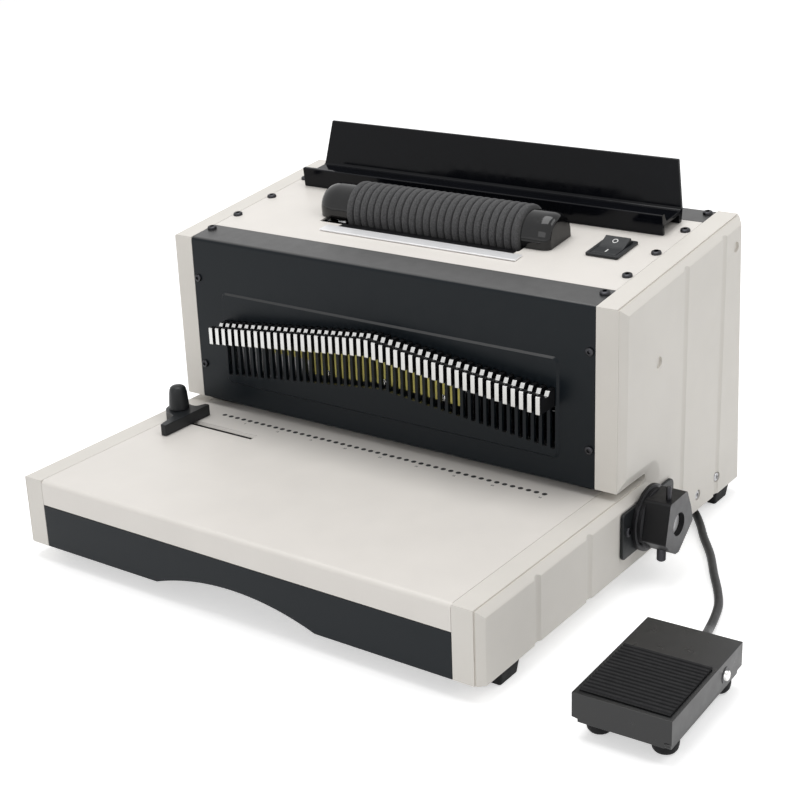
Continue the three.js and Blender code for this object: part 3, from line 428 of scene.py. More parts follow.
class Surface:
    """A material whose colour, roughness and relief come from noise in the object's own space."""

    def __init__(self, name, color, roughness, metallic=0.0):
        self.name = name
        self.material = bpy.data.materials.new(name)
        self.material.use_nodes = True
        self.nodes = self.material.node_tree.nodes
        self.links = self.material.node_tree.links
        self.shader = self.nodes["Principled BSDF"]
        set_inputs(self.shader, Metallic=metallic, Roughness=roughness, Base_Color=(*color, 1))
        self.color = color
        self.roughness = roughness
        self.place = self.nodes.new("ShaderNodeTexCoord")
        self.relief = None

    def node(self, kind, **values):
        return set_inputs(self.nodes.new("ShaderNode" + kind), **values)

    def scaled(self, kind, size, stretch=(1, 1, 1), **values):
        """A texture whose grains are size millimetres across."""
        mapping = self.node("Mapping", Scale=[1000.0 / size * s for s in stretch])
        texture = self.node(kind, Scale=1.0, **values)
        self.links.new(self.place.outputs["Object"], mapping.inputs["Vector"])
        self.links.new(mapping.outputs["Vector"], texture.inputs["Vector"])
        return texture

    def noise(self, size, detail, stretch=(1, 1, 1)):
        return self.scaled("TexNoise", size, stretch, Detail=detail, Roughness=0.5).outputs["Fac"]

    def cells(self, size):
        """Distance to the nearest of scattered points."""
        return self.scaled("TexVoronoi", size).outputs["Distance"]

    def remap(self, value, start, end, low=0.0, high=1.0):
        """Low where a value is at start or before, high from end on."""
        scale = self.node("MapRange", From_Min=start, From_Max=end, To_Min=low, To_Max=high)
        self.links.new(value, scale.inputs["Value"])
        return scale.outputs["Result"]

    def facing(self, axis, start, end):
        """0 where the surface's normal has less than start along an axis, 1 from end on."""
        split = self.node("SeparateXYZ")
        self.links.new(self.place.outputs["Normal"], split.inputs["Vector"])
        return self.remap(split.outputs[axis], start, end)

    def level(self, name, value, low, high):
        """Sets a shader input from low to high by a value of 0 to 1."""
        self.links.new(self.remap(value, 0.0, 1.0, low, high), self.shader.inputs[name])

    def mix(self, value, first, second):
        """Goes from one colour to another by a value of 0 to 1."""
        mix = self.nodes.new("ShaderNodeMix")
        mix.data_type = "RGBA"
        mix.inputs["A"].default_value = (*first, 1)
        mix.inputs["B"].default_value = (*second, 1)
        self.links.new(value, mix.inputs["Factor"])
        self.links.new(mix.outputs["Result"], self.shader.inputs["Base Color"])

    def tint(self, value, other):
        self.mix(value, self.color, other)

    def mottle(self, value, amount):
        """Varies the colour by a noise."""
        darker = [c * (1 - amount) for c in self.color]
        lighter = [min(1.0, c * (1 + amount)) for c in self.color]
        self.mix(self.remap(value, *NOISE_MIDDLE), darker, lighter)

    def vary_roughness(self, value, amount):
        result = self.remap(value, *NOISE_MIDDLE, self.roughness - amount, self.roughness + amount)
        self.links.new(result, self.shader.inputs["Roughness"])

    def bump(self, value, height):
        """Raises the surface by a noise; height is in millimetres."""
        bump = self.node("Bump", Strength=1.0, Distance=height * 0.001)
        self.links.new(value, bump.inputs["Height"])
        if self.relief:
            self.links.new(self.relief, bump.inputs["Normal"])
        self.relief = bump.outputs["Normal"]
        self.links.new(self.relief, self.shader.inputs["Normal"])


def painted(name, color, roughness, grain, height, tone=0.018):
    """Powder coat or a fine moulded texture over a slightly uneven colour."""
    look = Surface(name, color, roughness)
    look.mottle(look.noise(38, 2), tone)
    look.vary_roughness(look.noise(9, 3), 0.04)
    look.bump(look.noise(grain, 3), height)
    return look


def panel_finish():
    """Black powder coat with a painted sheen: faces that look up get a lighter grey and more specular than
    upright faces, standing for light reflected from above.
    """
    look = Surface("panel", (0.005, 0.008, 0.011), 0.34)
    up = look.facing("Z", 0.6, 0.9)
    # Painted sheen: a lighter grey on faces that look up, for the light they reflect from above.
    look.tint(up, (0.03, 0.03, 0.03))
    look.level("Specular IOR Level", up, 0.19, 0.75)
    look.vary_roughness(look.noise(9, 3), 0.04)
    look.bump(look.noise(0.7, 3), 0.012)
    return look


def hub_finish():
    """Black plastic whose end face, looking along X, gets a grey tint and more specular: a painted
    reflection of the bright room.
    """
    look = Surface("hub", (0.006, 0.006, 0.007), 0.42)
    end = look.facing("X", 0.9, 0.98)
    # Painted reflection: the end face is tinted grey for the bright room it faces.
    look.tint(end, (0.056, 0.056, 0.06))
    look.level("Specular IOR Level", end, 0.25, 0.5)
    look.vary_roughness(look.noise(5, 3), 0.06)
    look.bump(look.noise(0.5, 2), 0.01)
    return look


def moulded(name, color, roughness, grain=0.5, height=0.01, shine=0.5):
    look = Surface(name, color, roughness)
    set_inputs(look.shader, Specular_IOR_Level=shine)
    look.mottle(look.noise(14, 3), 0.12)
    look.vary_roughness(look.noise(5, 3), 0.06)
    look.bump(look.noise(grain, 2), height)
    return look


def glossy(name, color, roughness, shine, wave, height):
    """Smooth black plastic or enamel with the slow waves of a moulded face."""
    look = Surface(name, color, roughness)
    set_inputs(look.shader, Specular_IOR_Level=shine)
    look.mottle(look.noise(30, 2), 0.15)
    look.vary_roughness(look.noise(6, 4), 0.05)
    look.bump(look.noise(wave, 1), height)
    look.bump(look.noise(0.8, 2), 0.002)
    return look


def metal(name, color, roughness, stretch=(1, 1, 1), grain=0.6, height=0.003, tone=0.05):
    look = Surface(name, color, roughness, 1.0)
    look.mottle(look.noise(16, 3), tone)
    look.vary_roughness(look.noise(grain, 3, stretch), min(0.08, roughness * 0.4))
    look.bump(look.noise(grain, 2, stretch), height)
    return look


def silver_finish():
    """Bright drawn metal, half of it plain colour so that it stays light in a dark bore."""
    look = Surface("silver", (0.9, 0.9, 0.91), 0.36, 0.45)
    look.mottle(look.noise(16, 3), 0.03)
    look.bump(look.noise(0.5, 2, (0.05, 3, 3)), 0.003)
    return look


def tab_finish():
    """Steel, bright on faces towards the front and dark on the others: partly a real polished front on
    blackened steel, partly painted light, the bright fronts standing for the white room they mirror and the
    dark sides for the dark gaps beside them.
    """
    look = Surface("tab", (0.008, 0.008, 0.009), 0.3)
    bright = look.facing("Y", -0.3, -0.5)
    # Partly painted light: the bright tint on front faces stands for reflected room light, the dark base
    # for mirrored dark gaps.
    look.tint(bright, (0.66, 0.66, 0.65))
    look.level("Metallic", bright, 0.0, 0.85)
    look.bump(look.noise(0.8, 2), 0.002)
    return look


def foam_finish():
    look = Surface("foam", (0.078, 0.078, 0.08), 0.95)
    set_inputs(look.shader, Sheen_Weight=0.12, Sheen_Roughness=0.6, Specular_IOR_Level=0.15)
    look.mottle(look.noise(0.9, 4), 0.4)
    look.bump(look.cells(0.7), 0.12)
    look.bump(look.noise(3.5, 3), 0.15)
    return look


def make_looks():
    """The surfaces, in groups by finish."""
    return {
        "cover": [painted("cover", (0.76, 0.73, 0.68), 0.5, 0.9, 0.010)],
        "light_panel": [painted("light", (0.81, 0.775, 0.73), 0.42, 1.3, 0.008)],
        "black_panel": [
            panel_finish(),
            painted("pedal", (0.004, 0.0042, 0.0046), 0.31, 0.7, 0.005, 0.08),
        ],
        "black_plastic": [
            hub_finish(),
            moulded("plastic", (0.011, 0.0125, 0.014), 0.4, shine=0.32),
            metal("screw", (0.05, 0.05, 0.055), 0.35),
            moulded("ink", (0.03, 0.03, 0.03), 0.6),
            moulded("white", (0.75, 0.75, 0.74), 0.5),
        ],
        "gloss_black": [
            glossy("enamel", (0.003, 0.0034, 0.005), 0.12, 0.16, 40, 0.03),
            glossy("cap", (0.004, 0.004, 0.0045), 0.09, 0.45, 8, 0.16),
        ],
        "rubber": [
            moulded("rubber", (0.011, 0.011, 0.012), 0.75, 0.8, 0.03, 0.25),
            moulded("cord", (0.016, 0.016, 0.017), 0.5, 1.2, 0.01),
        ],
        "foam": [foam_finish()],
        "steel": [metal("steel", (0.42, 0.42, 0.43), 0.32, (1, 1, 6))],
        "nickel": [tab_finish(), metal("nickel", (0.83, 0.83, 0.81), 0.13, (1, 4, 4), 0.5, 0.002)],
        "aluminium": [
            silver_finish(),
            metal("aluminium", (0.84, 0.845, 0.86), 0.25, (0.05, 3, 3), 0.5, 0.004),
        ],
        "brass": [
            metal("zinc", (0.78, 0.7, 0.22), 0.45, (1, 1, 1), 2.0, 0.01, 0.2),
            metal("brass", (0.66, 0.52, 0.22), 0.3),
        ],
    }


LOOKS = {look.name: (finish, look.material) for finish, group in make_looks().items() for look in group}


# Camera, floor, backdrop and light


def make_camera():
    data = bpy.data.cameras.new("camera")
    data.sensor_width = SENSOR
    data.lens = FOCAL_PIXELS / IMAGE_SIZE * SENSOR
    data.clip_start = 0.01
    camera = link("camera", data)
    level = math.cos(CAMERA_ELEVATION)
    back = Vector((
        math.sin(CAMERA_AZIMUTH) * level,
        -math.cos(CAMERA_AZIMUTH) * level,
        math.sin(CAMERA_ELEVATION),
    ))
    right = Vector((0, 0, 1)).cross(back).normalized()
    up = back.cross(right)
    cos, sin = math.cos(CAMERA_ROLL), math.sin(CAMERA_ROLL)
    turned_right = right * cos + up * sin
    turned_up = up * cos - right * sin
    turn = Matrix((turned_right, turned_up, back)).transposed().to_4x4()
    camera.matrix_world = Matrix.Translation(MACHINE @ Vector(CAMERA_PLACE)) @ turn
    bpy.context.scene.camera = camera


def looked_at(tree):
    """1 where a surface is seen straight, in a reflection or through glass, else 0."""
    path = tree.nodes.new("ShaderNodeLightPath")
    value = path.outputs["Is Camera Ray"]
    for name in ("Is Glossy Ray", "Is Transmission Ray"):
        either = tree.nodes.new("ShaderNodeMath")
        either.operation = "MAXIMUM"
        tree.links.new(value, either.inputs[0])
        tree.links.new(path.outputs[name], either.inputs[1])
        value = either.outputs["Value"]
    return value


def show(tree, output, plain, seen):
    """Gives an output one shader where it is looked at and a plain one for all other light."""
    pick = tree.nodes.new("ShaderNodeMixShader")
    tree.links.new(looked_at(tree), pick.inputs["Fac"])
    tree.links.new(plain, pick.inputs[1])
    tree.links.new(seen, pick.inputs[2])
    tree.links.new(pick.outputs["Shader"], output.inputs["Surface"])


def make_stage():
    """A pale floor that glows a little, but only where it is looked at."""
    bm = bmesh.new()
    bmesh.ops.create_grid(bm, x_segments=8, y_segments=8, size=FLOOR_HALF)
    mesh = bpy.data.meshes.new("floor")
    bm.to_mesh(mesh)
    bm.free()
    floor = link("floor", mesh)
    floor.location.z = -FLOOR_DROP
    material = bpy.data.materials.new("floor")
    material.use_nodes = True
    mesh.materials.append(material)
    tree = material.node_tree
    shader = set_inputs(tree.nodes["Principled BSDF"], Base_Color=(0.93, 0.93, 0.93, 1), Roughness=0.9)
    glow = set_inputs(tree.nodes.new("ShaderNodeEmission"), Color=WHITE, Strength=FLOOR_GLOW)
    both = tree.nodes.new("ShaderNodeAddShader")
    tree.links.new(shader.outputs["BSDF"], both.inputs[0])
    tree.links.new(glow.outputs["Emission"], both.inputs[1])
    show(tree, tree.nodes["Material Output"], shader.outputs["BSDF"], both.outputs["Shader"])


def make_world():
    """A white backdrop that lights the machine with only a part of its white."""
    world = bpy.data.worlds.new("world")
    bpy.context.scene.world = world
    world.use_nodes = True
    tree = world.node_tree
    tree.nodes.clear()
    shaders = []
    for strength in (ROOM_LIGHT, 1.0):
        node = set_inputs(tree.nodes.new("ShaderNodeBackground"), Color=WHITE, Strength=strength)
        shaders.append(node.outputs["Background"])
    show(tree, tree.nodes.new("ShaderNodeOutputWorld"), *shaders)


def make_lamps():
    for name, place, size, power in (
        ("key", (-0.3, 0.0, 2.2), (1.6, 1.2), 21),
        ("side", (1.3, 0.3, 1.9), (1.2, 1.0), 8),
        ("front", (-0.2, -2.2, 0.9), (1.6, 1.0), 6),
    ):
        data = bpy.data.lights.new(name, "AREA")
        data.shape = "RECTANGLE"
        data.size, data.size_y = size
        data.energy = power
        lamp = link(name, data)
        lamp.location = place
        lamp.rotation_euler = (LAMP_AIM - Vector(place)).to_track_quat("-Z", "Y").to_euler()


# Pedal cord: one cord from the gland at the back, through its coil, to the pedal


def coil_point(turn):
    """Wound in from the outside on the upper layer and out again on the lower."""
    half = COIL_TURNS / 2
    inner = COIL_RADIUS - COIL_SPACING * half / 2
    radius = inner + COIL_SPACING * abs(turn - half)
    t = min(max((turn - half + 0.25) / 0.5, 0.0), 1.0)
    fall = t * t * (3 - 2 * t)
    angle = 2 * math.pi * turn
    return Vector((
        COIL_X + radius * math.cos(angle),
        COIL_Y + radius * math.sin(angle),
        CORD_LOW + COIL_SPACING * (1 - fall),
    ))


def pedal_point(x, y, z):
    return MACHINE.inverted() @ (PEDAL @ Vector((x, y, z)))


def cord_points():
    gland_y = rear_y(GLAND_Z)
    lead = [
        (GLAND_X, gland_y + GLAND_LENGTH + GAP, GLAND_Z),
        (GLAND_X, gland_y + 21, GLAND_Z),
        (GLAND_X - 1.5, gland_y + 30, GLAND_Z - 4),
        (GLAND_X - 6, gland_y + 40, GLAND_Z - 12.5),
    ]
    coil = [coil_point(i / COIL_STEPS) for i in range(int(COIL_STEPS * COIL_TURNS) + 1)]
    before = coil[0] + Vector((0, -CORD_DIAMETER, 0))
    after = coil[-1] + Vector((0, -CORD_DIAMETER, 0))
    run = [
        (56.5, 398), (61, 378), (74, 358), (96, 342), (122, 333), (148, 327), (168, 318), (184, 305),
        (197, 288), (208.5, 270), (224.5, 247), (239.5, 221), (252, 200), (260, 184), (265.5, 166),
    ]
    end_y = PEDAL_WALL_Y + PEDAL_GLAND_LENGTH
    return [
        *map(Vector, lead),
        before + Vector((0, -8, 0)), before, *coil, after, after + Vector((0, -8, 0)),
        *(Vector((x, y, CORD_LOW)) for x, y in run),
        Vector((270, 148, FLOOR + 4.6)),
        Vector((275.4, 133, FLOOR + 10.2)),
        pedal_point(0, end_y + 7, PEDAL_CORD_Z - 0.4),
        pedal_point(0, end_y + GAP, PEDAL_CORD_Z),
    ]


def between(p, q, start, end, t):
    """The place on the line through p and q where t is, with p at start and q at end."""
    return p * (end - t) / (end - start) + q * (t - start) / (end - start)


def smooth_path(points):
    """Centripetal curve through points, as close places along it."""
    ends = [2 * points[0] - points[1], *points, 2 * points[-1] - points[-2]]
    path = []
    for p0, p1, p2, p3 in zip(ends, ends[1:], ends[2:], ends[3:]):
        t1 = (p1 - p0).length ** 0.5
        t2 = t1 + (p2 - p1).length ** 0.5
        t3 = t2 + (p3 - p2).length ** 0.5
        count = max(2, round((p2 - p1).length / CORD_STEP))
        for k in range(count):
            t = t1 + (t2 - t1) * k / count
            a1 = between(p0, p1, 0, t1, t)
            a2 = between(p1, p2, t1, t2, t)
            a3 = between(p2, p3, t2, t3, t)
            path.append(between(between(a1, a2, 0, t2, t), between(a2, a3, t1, t3, t), t1, t2, t))
    return [*path, points[-1]]


def make_cord():
    path = [MACHINE @ p for p in smooth_path(cord_points())]
    data = bpy.data.curves.new("pedal_cord", "CURVE")
    data.dimensions = "3D"
    data.bevel_depth = CORD_DIAMETER / 2 * 0.001
    data.bevel_resolution = 5
    data.use_fill_caps = True
    spline = data.splines.new("POLY")
    spline.points.add(len(path) - 1)
    for point, place in zip(spline.points, path):
        point.co = (*place, 1)
    spline.use_smooth = True
    cord = link("pedal_cord", data)
    dress(cord, "housing", "cord", ["pedal_cord_lead", "pedal_cord_coil", "pedal_cord_run"])


# Side covers


def cover_outline(front, top, rear, bottom, slot, slot_y, slot_z, sill, tower=None):
    """One outline of the cover; its edges stand back by the given amounts."""
    tower = front if tower is None else tower
    lowest = math.degrees(math.asin(max(-1.0, (sill - slot_z) / slot)))
    return [
        (front, BASE_BOTTOM + bottom),
        (REAR_BOTTOM_Y - rear, BASE_BOTTOM + bottom),
        (REAR_TOP_Y - rear, deck_z(REAR_TOP_Y - rear) - top),
        (PUNCH_Y + tower, deck_z(PUNCH_Y + tower) - top),
        (PUNCH_Y + tower, slot_z + slot),
        *arc(slot_y, slot_z, slot, 90, lowest, 20),
        (slot_y - 2, sill),
        (front, sill),
    ]


def cover_rings(levels):
    return add_rings(bmesh.new(), [[(x, y, z) for y, z in cover_outline(*level)] for x, level in levels])


def cover_shell():
    """A rim, a groove round it, and a flat bevel that ends in a rounded edge at the face."""
    rim = (0, 0, 0, 0, 3, 212, 3, 0)
    groove = (1.2, 1.2, 1.2, 0, 3, 212, 3, -1.2, 0)
    face = (5, 5.5, 5.4, 0, 12.5, 214, 2.7, -5.5)
    levels = [(SEAM_X, rim), (STRIP_X - 0.7, rim), (STRIP_X - 0.65, groove), (STRIP_X + 0.35, groove)]
    for x, t in ((0.4, 0.12), (0.5, 0.1), (4.4, 0.9), (4.75, 0.98), (4.95, 1.06), (5.0, 1.14)):
        levels.append((STRIP_X + x, [a + (b - a) * t for a, b in zip(rim, face)]))
    return cover_rings(levels)


def cover_hollow():
    inner = (2.5, 2.5, 2.5, 2.5, 5.5, 212, 3, -2.5)
    end = (7.5, 8, 8, 4, 14, 214, 3, -8)
    return cover_rings([(SEAM_X - 1, inner), (STRIP_X - 2.5, inner), (OUTER_X - 2.5, end)])


def channel(y, top):
    """An upright channel with a round bed."""
    bed = [(OUTER_X + 3, y + 5.5), (OUTER_X + 3, y - 5.5), *arc(OUTER_X + 4.4, y, 5.9, 240, 120, 12)]
    return prism("z", bed, BASE_BOTTOM - 2, top)


def make_side_covers():
    channels = [(64.3, 4), (129.2, 4), (260.9, 170), (319.8, 170)]
    wells = [(222.4, 84.3), (339.4, 133.8), (322, -37.5), (289.3, -39)]
    for side, name in ((1, "right"), (-1, "left")):
        cutters = [cover_hollow(), *(channel(y, top) for y, top in channels)]
        cutters.append(merge(*[rod("x", y, z, OUTER_X - 1.6, OUTER_X + 2, 4.0) for y, z in wells]))
        if side > 0:
            cutters.append(rod("x", SHAFT_Y, SHAFT_Z, 186, OUTER_X + 2, SHAFT_HOLE_RADIUS))
        part(f"cover_shell_{name}", "cover", sided(cover_shell(), side),
             *[cut(sided(cutter, side)) for cutter in cutters], node=f"side_cover_{name}", angle=20)
        places = [(y, z, OUTER_X - 1.7) for y, z in wells[2:]]
        screws(f"cover_screws_{name}", "steel", "x", 1, 3.4, 1.2, places, side=side)


# Sheets of the housing


def make_table():
    profile = fillet([
        (TABLE_BACK_Y, -SHEET), (TABLE_BACK_Y, 0), (0, 0, 3.4), (0, SKIRT_Z, 0.4), (SHEET, SKIRT_Z, 0.4),
        (SHEET, -SHEET, 1.9),
    ], steps=6)
    left, right, front, back = GUIDE_SLOT
    lip = [(back, -0.5), (back - 1, -2.6), (back + 0.5, -2.6), (back + SHEET, -0.5)]
    part("table_sheet", "light", across(profile, PANEL_HALF),
         cut(prism("z", rectangle(*GUIDE_SLOT), -5, 3)), add(prism("x", lip, left, right)),
         node="table_plate", edge=0.25)


def make_scale():
    """Printed row of dots, one for each pin, with a number at every fifth up to 40 and at the last."""
    dots = bmesh.new()
    for i in range(PIN_COUNT):
        rod("z", pin_x(i), DOT_Y, 0.0, 2 * NUMBER_DEPTH, DOT_RADIUS, 24, dots)
    part("scale_dots", "ink", dots, edge=0)
    for i in [*range(4, PIN_COUNT - 2, 5), PIN_COUNT - 1]:
        number(i + 1, pin_x(i))


def number(count, x):
    """A printed number in front of its dot."""
    name = f"scale_number_{count:02d}"
    font = bpy.data.curves.new(name, "FONT")
    font.body = str(count)
    font.size = NUMBER_SIZE
    font.align_x = "CENTER"
    font.align_y = "CENTER"
    font.extrude = NUMBER_DEPTH
    drawn = link(name, font)
    drawn.matrix_world = MACHINE @ Matrix.Translation((x, NUMBER_Y, NUMBER_DEPTH))
    bpy.context.view_layer.update()
    graph = bpy.context.evaluated_depsgraph_get()
    mesh = bpy.data.meshes.new_from_object(drawn.evaluated_get(graph))
    mesh.transform(drawn.matrix_world)
    bpy.data.objects.remove(drawn)
    dress(link(name, mesh), "housing", "ink")


def make_base_front():
    """The sheet below the table, with its low arch."""
    half, rise = 68.0, 12.0
    radius = (half ** 2 + rise ** 2) / (2 * rise)
    reach = math.degrees(math.asin(half / radius))
    outline = [
        (PANEL_HALF, BASE_BOTTOM), (PANEL_HALF, SKIRT_Z - GAP), (-PANEL_HALF, SKIRT_Z - GAP),
        (-PANEL_HALF, BASE_BOTTOM),
        *arc(0, BASE_BOTTOM + rise - radius, radius, 90 + reach, 90 - reach, 40),
    ]
    part("base_front_sheet", "panel", prism("y", outline, 0, SHEET), node="base_front_panel")


def make_bottom():
    front, top = 42, BASE_BOTTOM + SHEET
    sheet = box(-PANEL_HALF + 1, PANEL_HALF - 1, front, REAR_BOTTOM_Y - 4, BASE_BOTTOM, top)
    lip = box(-160, 160, front, front + SHEET, top, BASE_BOTTOM + 10)
    part("bottom_sheet", "panel", merge(sheet, lip), node="bottom_plate")


def pin_x(i):
    return FIRST_PIN_X + i * PITCH


def tab_base(i):
    middle = (PIN_COUNT - 1) / 2
    return TAB_END_Z + TAB_RISE * (1 - abs(i - middle) / middle)


def raised_field():
    """The field round the slots, whose edges slope back to the panel."""
    low, high = 22, 95
    field = prism("y", fillet(rectangle(-147, 146.5, low, high), 4, 6), PUNCH_Y - FIELD_RISE, PUNCH_Y + 0.5)
    for vert in field.verts:
        if vert.co.y < PUNCH_Y:
            vert.co.x -= math.copysign(FIELD_SLOPE, vert.co.x)
            vert.co.z -= math.copysign(FIELD_SLOPE, vert.co.z - (low + high) / 2)
    return field


def make_punch_front():
    profile = fillet([
        (PUNCH_Y, THROAT, 0.3), (PUNCH_Y + SHEET, THROAT, 0.3),
        (PUNCH_Y + SHEET, deck_z(PUNCH_Y + SHEET) - SHEET, 1.5),
        on_deck(FRONT_STRIP, -SHEET), on_deck(FRONT_STRIP, 0), (PUNCH_Y, DECK_Z, 3.0),
    ], steps=6)
    slots = bmesh.new()
    for i in range(PIN_COUNT):
        left, right = pin_x(i) - SLOT_HALF, pin_x(i) + SLOT_HALF
        low, top = tab_base(i) - SLOT_DROP, tab_base(i) + TAB_HEIGHT + 0.5
        outline = fillet([(left, low, 1.4), (right, low, 1.4), (right, top, 0.5), (left, top, 0.5)])
        prism("y", outline, PUNCH_Y - 2, PUNCH_Y + 4, slots)
    part("punch_front_sheet", "panel", across(profile, PANEL_HALF),
         add(raised_field()), cut(slots), node="punch_front_panel")


def make_rear():
    top = deck_z(REAR_TOP_Y)
    profile = fillet([
        on_deck(DECK_LENGTH - REAR_STRIP, -SHEET), (rear_y(top) - SHEET, top - SHEET, 1.2),
        (REAR_BOTTOM_Y - SHEET, BASE_BOTTOM), (REAR_BOTTOM_Y, BASE_BOTTOM), (REAR_TOP_Y, top, 2.8),
        on_deck(DECK_LENGTH - REAR_STRIP, 0),
    ], steps=6)
    near, far = REAR_TOP_Y - 12.5, REAR_BOTTOM_Y + 16
    tray = box(-CHIP_HALF - 4, CHIP_HALF + 4, near, far, -60, -31)
    inlet = box(INLET_X - 14.5, INLET_X + 14.5, near, far, INLET_Z - 10.5, INLET_Z + 10.5)
    cord_hole = rod("y", GLAND_X, GLAND_Z, near, far, GLAND_HOLE_RADIUS)
    part("rear_sheet", "panel", across(profile, PANEL_HALF),
         cut(merge(tray, inlet, cord_hole)), node="rear_panel")


def make_deck():
    outline = rectangle(-PANEL_HALF, PANEL_HALF, FRONT_STRIP + GAP, DECK_LENGTH - REAR_STRIP - GAP)
    window = fillet(rectangle(-98, 77.5, ROLLER_V - 23.9, ROLLER_V + 21.6), 1.5)
    hole = around(SWITCH_X, SWITCH_V, 11.2, 14.2)
    part("deck_sheet", "light", prism("z", outline, -SHEET, 0), cut(prism("z", window, -5, 3)),
         cut(prism("z", hole, -5, 3)), node="top_plate", space=DECK, edge=0.2)


def screws(name, look, axis, sign, radius, height, places, body="housing", space=MACHINE, side=1):
    """Pan heads with hexagon sockets that look along an axis, or against it where sign is -1.

    A place has its two coordinates across the axis and where the head seats along it.
    """
    bm = bmesh.new()
    sides = 24
    turns = [2 * math.pi * i / sides for i in range(sides)]
    hexagon = [0.42 * radius / math.cos((t + math.pi / 6) % (math.pi / 3) - math.pi / 6) for t in turns]
    levels = [([share * radius] * sides, h) for share, h in ((1, 0), (1, 0.5), (0.92, 0.8), (0.7, 1))]
    for a, b, seat in places:
        rings = []
        for radii, h in (*levels, (hexagon, 1), (hexagon, 0.3)):
            ring = [(a + r * math.cos(t), b + r * math.sin(t)) for r, t in zip(radii, turns)]
            rings.append([spot(axis, *place, seat + sign * h * height) for place in ring])
        add_rings(bm, rings)
    part(name, look, sided(bm, side), body=body, space=space, edge=0, angle=25)


def make_screws():
    rows = [(y - PUNCH_Y) / math.cos(DECK_SLOPE) for y in (193.1, 223.7, 265.3, 309.1, 344.8)]
    on_top = [(side * 168.7, v, 0.0) for side in (-1, 1) for v in rows]
    in_front = [(side * 168.8, z, PUNCH_Y) for side in (-1, 1) for z in (33.4, 102.5)]
    screws("deck_screws", "screw", "z", 1, 3.6, 2.2, on_top, space=DECK)
    screws("front_screws", "screw", "y", -1, 3.0, 1.6, in_front)


# Ram, pins and pull tabs


def pull_tab(i, back_y, bm=None):
    base, front, x = tab_base(i), TAB_FRONT_Y, pin_x(i)
    top = base + TAB_HEIGHT
    outline = fillet([
        (front, base, 0.6), (back_y, base, 0.1), (back_y, top, 0.1), (front + 13, top, 0.5),
        (front + 11, top - 3.2, 0.8), (front + 7.3, top - 3.2, 0.8), (front + 5.5, top, 0.6),
        (front, top, 0.9),
    ])
    return prism("x", outline, x - TAB_WIDTH / 2, x + TAB_WIDTH / 2, bm)


def rack_arm(side):
    """The arm at one end of the ram, with the teeth of its rack."""
    module, teeth = 2.0, 16
    pitch_y = SHAFT_Y + 1.5 * teeth * module
    root_y, tip_y = pitch_y + 1.2 * module, pitch_y - 0.9 * module
    slope = math.tan(math.radians(20))
    half = math.pi * module / 4 - 0.28
    wide, narrow = half + 1.2 * module * slope, half - 0.9 * module * slope
    outline = [(RAM_Y, RAM_TOP), (RAM_Y, 80), (root_y, 80)]
    for k in range(5, -1, -1):
        z = SHAFT_Z + math.pi * module * k
        outline += [(root_y, z + wide), (tip_y, z + narrow), (tip_y, z - narrow), (root_y, z - wide)]
    outline += [(root_y + 7, SHAFT_Z - wide), (root_y + 7, RAM_TOP)]
    low, high = sorted((side * 157.5, side * RAM_HALF))
    return prism("x", outline, low, high)


def make_ram():
    low = TAB_END_Z - 4
    bar = prism("y", [
        (RAM_HALF, low), (RAM_HALF, RAM_TOP), (-RAM_HALF, RAM_TOP), (-RAM_HALF, low), (FIRST_PIN_X, low),
        (0, low + TAB_RISE), (-FIRST_PIN_X, low),
    ], RAM_Y, RAM_Y + 16)
    pins = bmesh.new()
    for i in range(PIN_COUNT):
        rod("z", pin_x(i), PIN_Y, tab_base(i) - PIN_TIP_DROP, tab_base(i), PIN_RADIUS, 12, pins)
    part("ram_bar", "steel", merge(bar, rack_arm(1), rack_arm(-1), pins), node="punch_ram",
         body="punch_ram", edge=0.25)


def make_fixed_tabs():
    """The tabs that go with the ram."""
    tabs = bmesh.new()
    for i in range(LOOSE_TABS, PIN_COUNT - LOOSE_TABS):
        pull_tab(i, RAM_Y + 0.5, tabs)
    part("pull_tabs_middle", "tab", tabs, body="punch_ram", edge=0.4)


def make_ram_plate():
    """The yellow plate on the ram, with its screws and the bracket beside it."""
    plate = [(-66.7, 41.5), (0, 45.8), (65, 41.5), (65, 66), (0, 73), (-103, 62), (-103, 52), (-66.7, 52)]
    part("ram_front_plate", "zinc", prism("y", plate, RAM_PLATE_Y, RAM_PLATE_Y + SHEET), node="ram_plate",
         body="punch_ram", edge=0.2)
    part("ram_bracket", "steel", box(-143.5, -117, RAM_Y, RAM_Y + SHEET, 33, 59), body="punch_ram")
    places = [(x, z, RAM_PLATE_Y) for x, z in ((-52.2, 45.6), (-1.2, 47.6), (49.5, 45.6))]
    screws("ram_plate_screws", "nickel", "y", -1, 3.0, 2.0, places, body="punch_ram")


def make_loose_tabs():
    """The tabs at both ends, which are bodies of their own."""
    for i in [*range(LOOSE_TABS), *range(PIN_COUNT - LOOSE_TABS, PIN_COUNT)]:
        name = f"pull_tab_{i + 1:02d}"
        part(f"{name}_blade", "tab", pull_tab(i, RAM_Y + 6), node=name, body=name, edge=0.4)


# Roller unit


def make_sleeve():
    rib, bore, bed = 2 * SLEEVE_HALF / SLEEVE_RIBS, 14.4, SLEEVE_RADIUS - 3.4
    crest = [(0.07, 1.7), (0.12, 0.8), (0.22, 0.25), (0.5, 0.0), (0.78, 0.25), (0.88, 0.8), (0.93, 1.7)]
    profile = [(bore, -SLEEVE_HALF), (bed, -SLEEVE_HALF)]
    for i in range(SLEEVE_RIBS):
        start = -SLEEVE_HALF + i * rib
        for t, drop in crest:
            profile.append((SLEEVE_RADIUS - drop, start + t * rib))
        profile.append((bed, start + rib))
    profile.append((bore, SLEEVE_HALF))
    sleeve = lathe("x", ROLLER_V, ROLLER_W, profile, 96)
    piece = part("roller_foam", "foam", sleeve, node="roller_sleeve", body="roller", space=DECK, edge=0,
                 angle=50)


def cap_outline(scale):
    radius, foot = CAP_RADIUS * scale, GAP - ROLLER_W
    shape = [(-radius, foot), *arc(0, 0, radius, 180, 0, 24), (radius, foot)]
    return [(ROLLER_V + v, ROLLER_W + w) for v, w in shape]


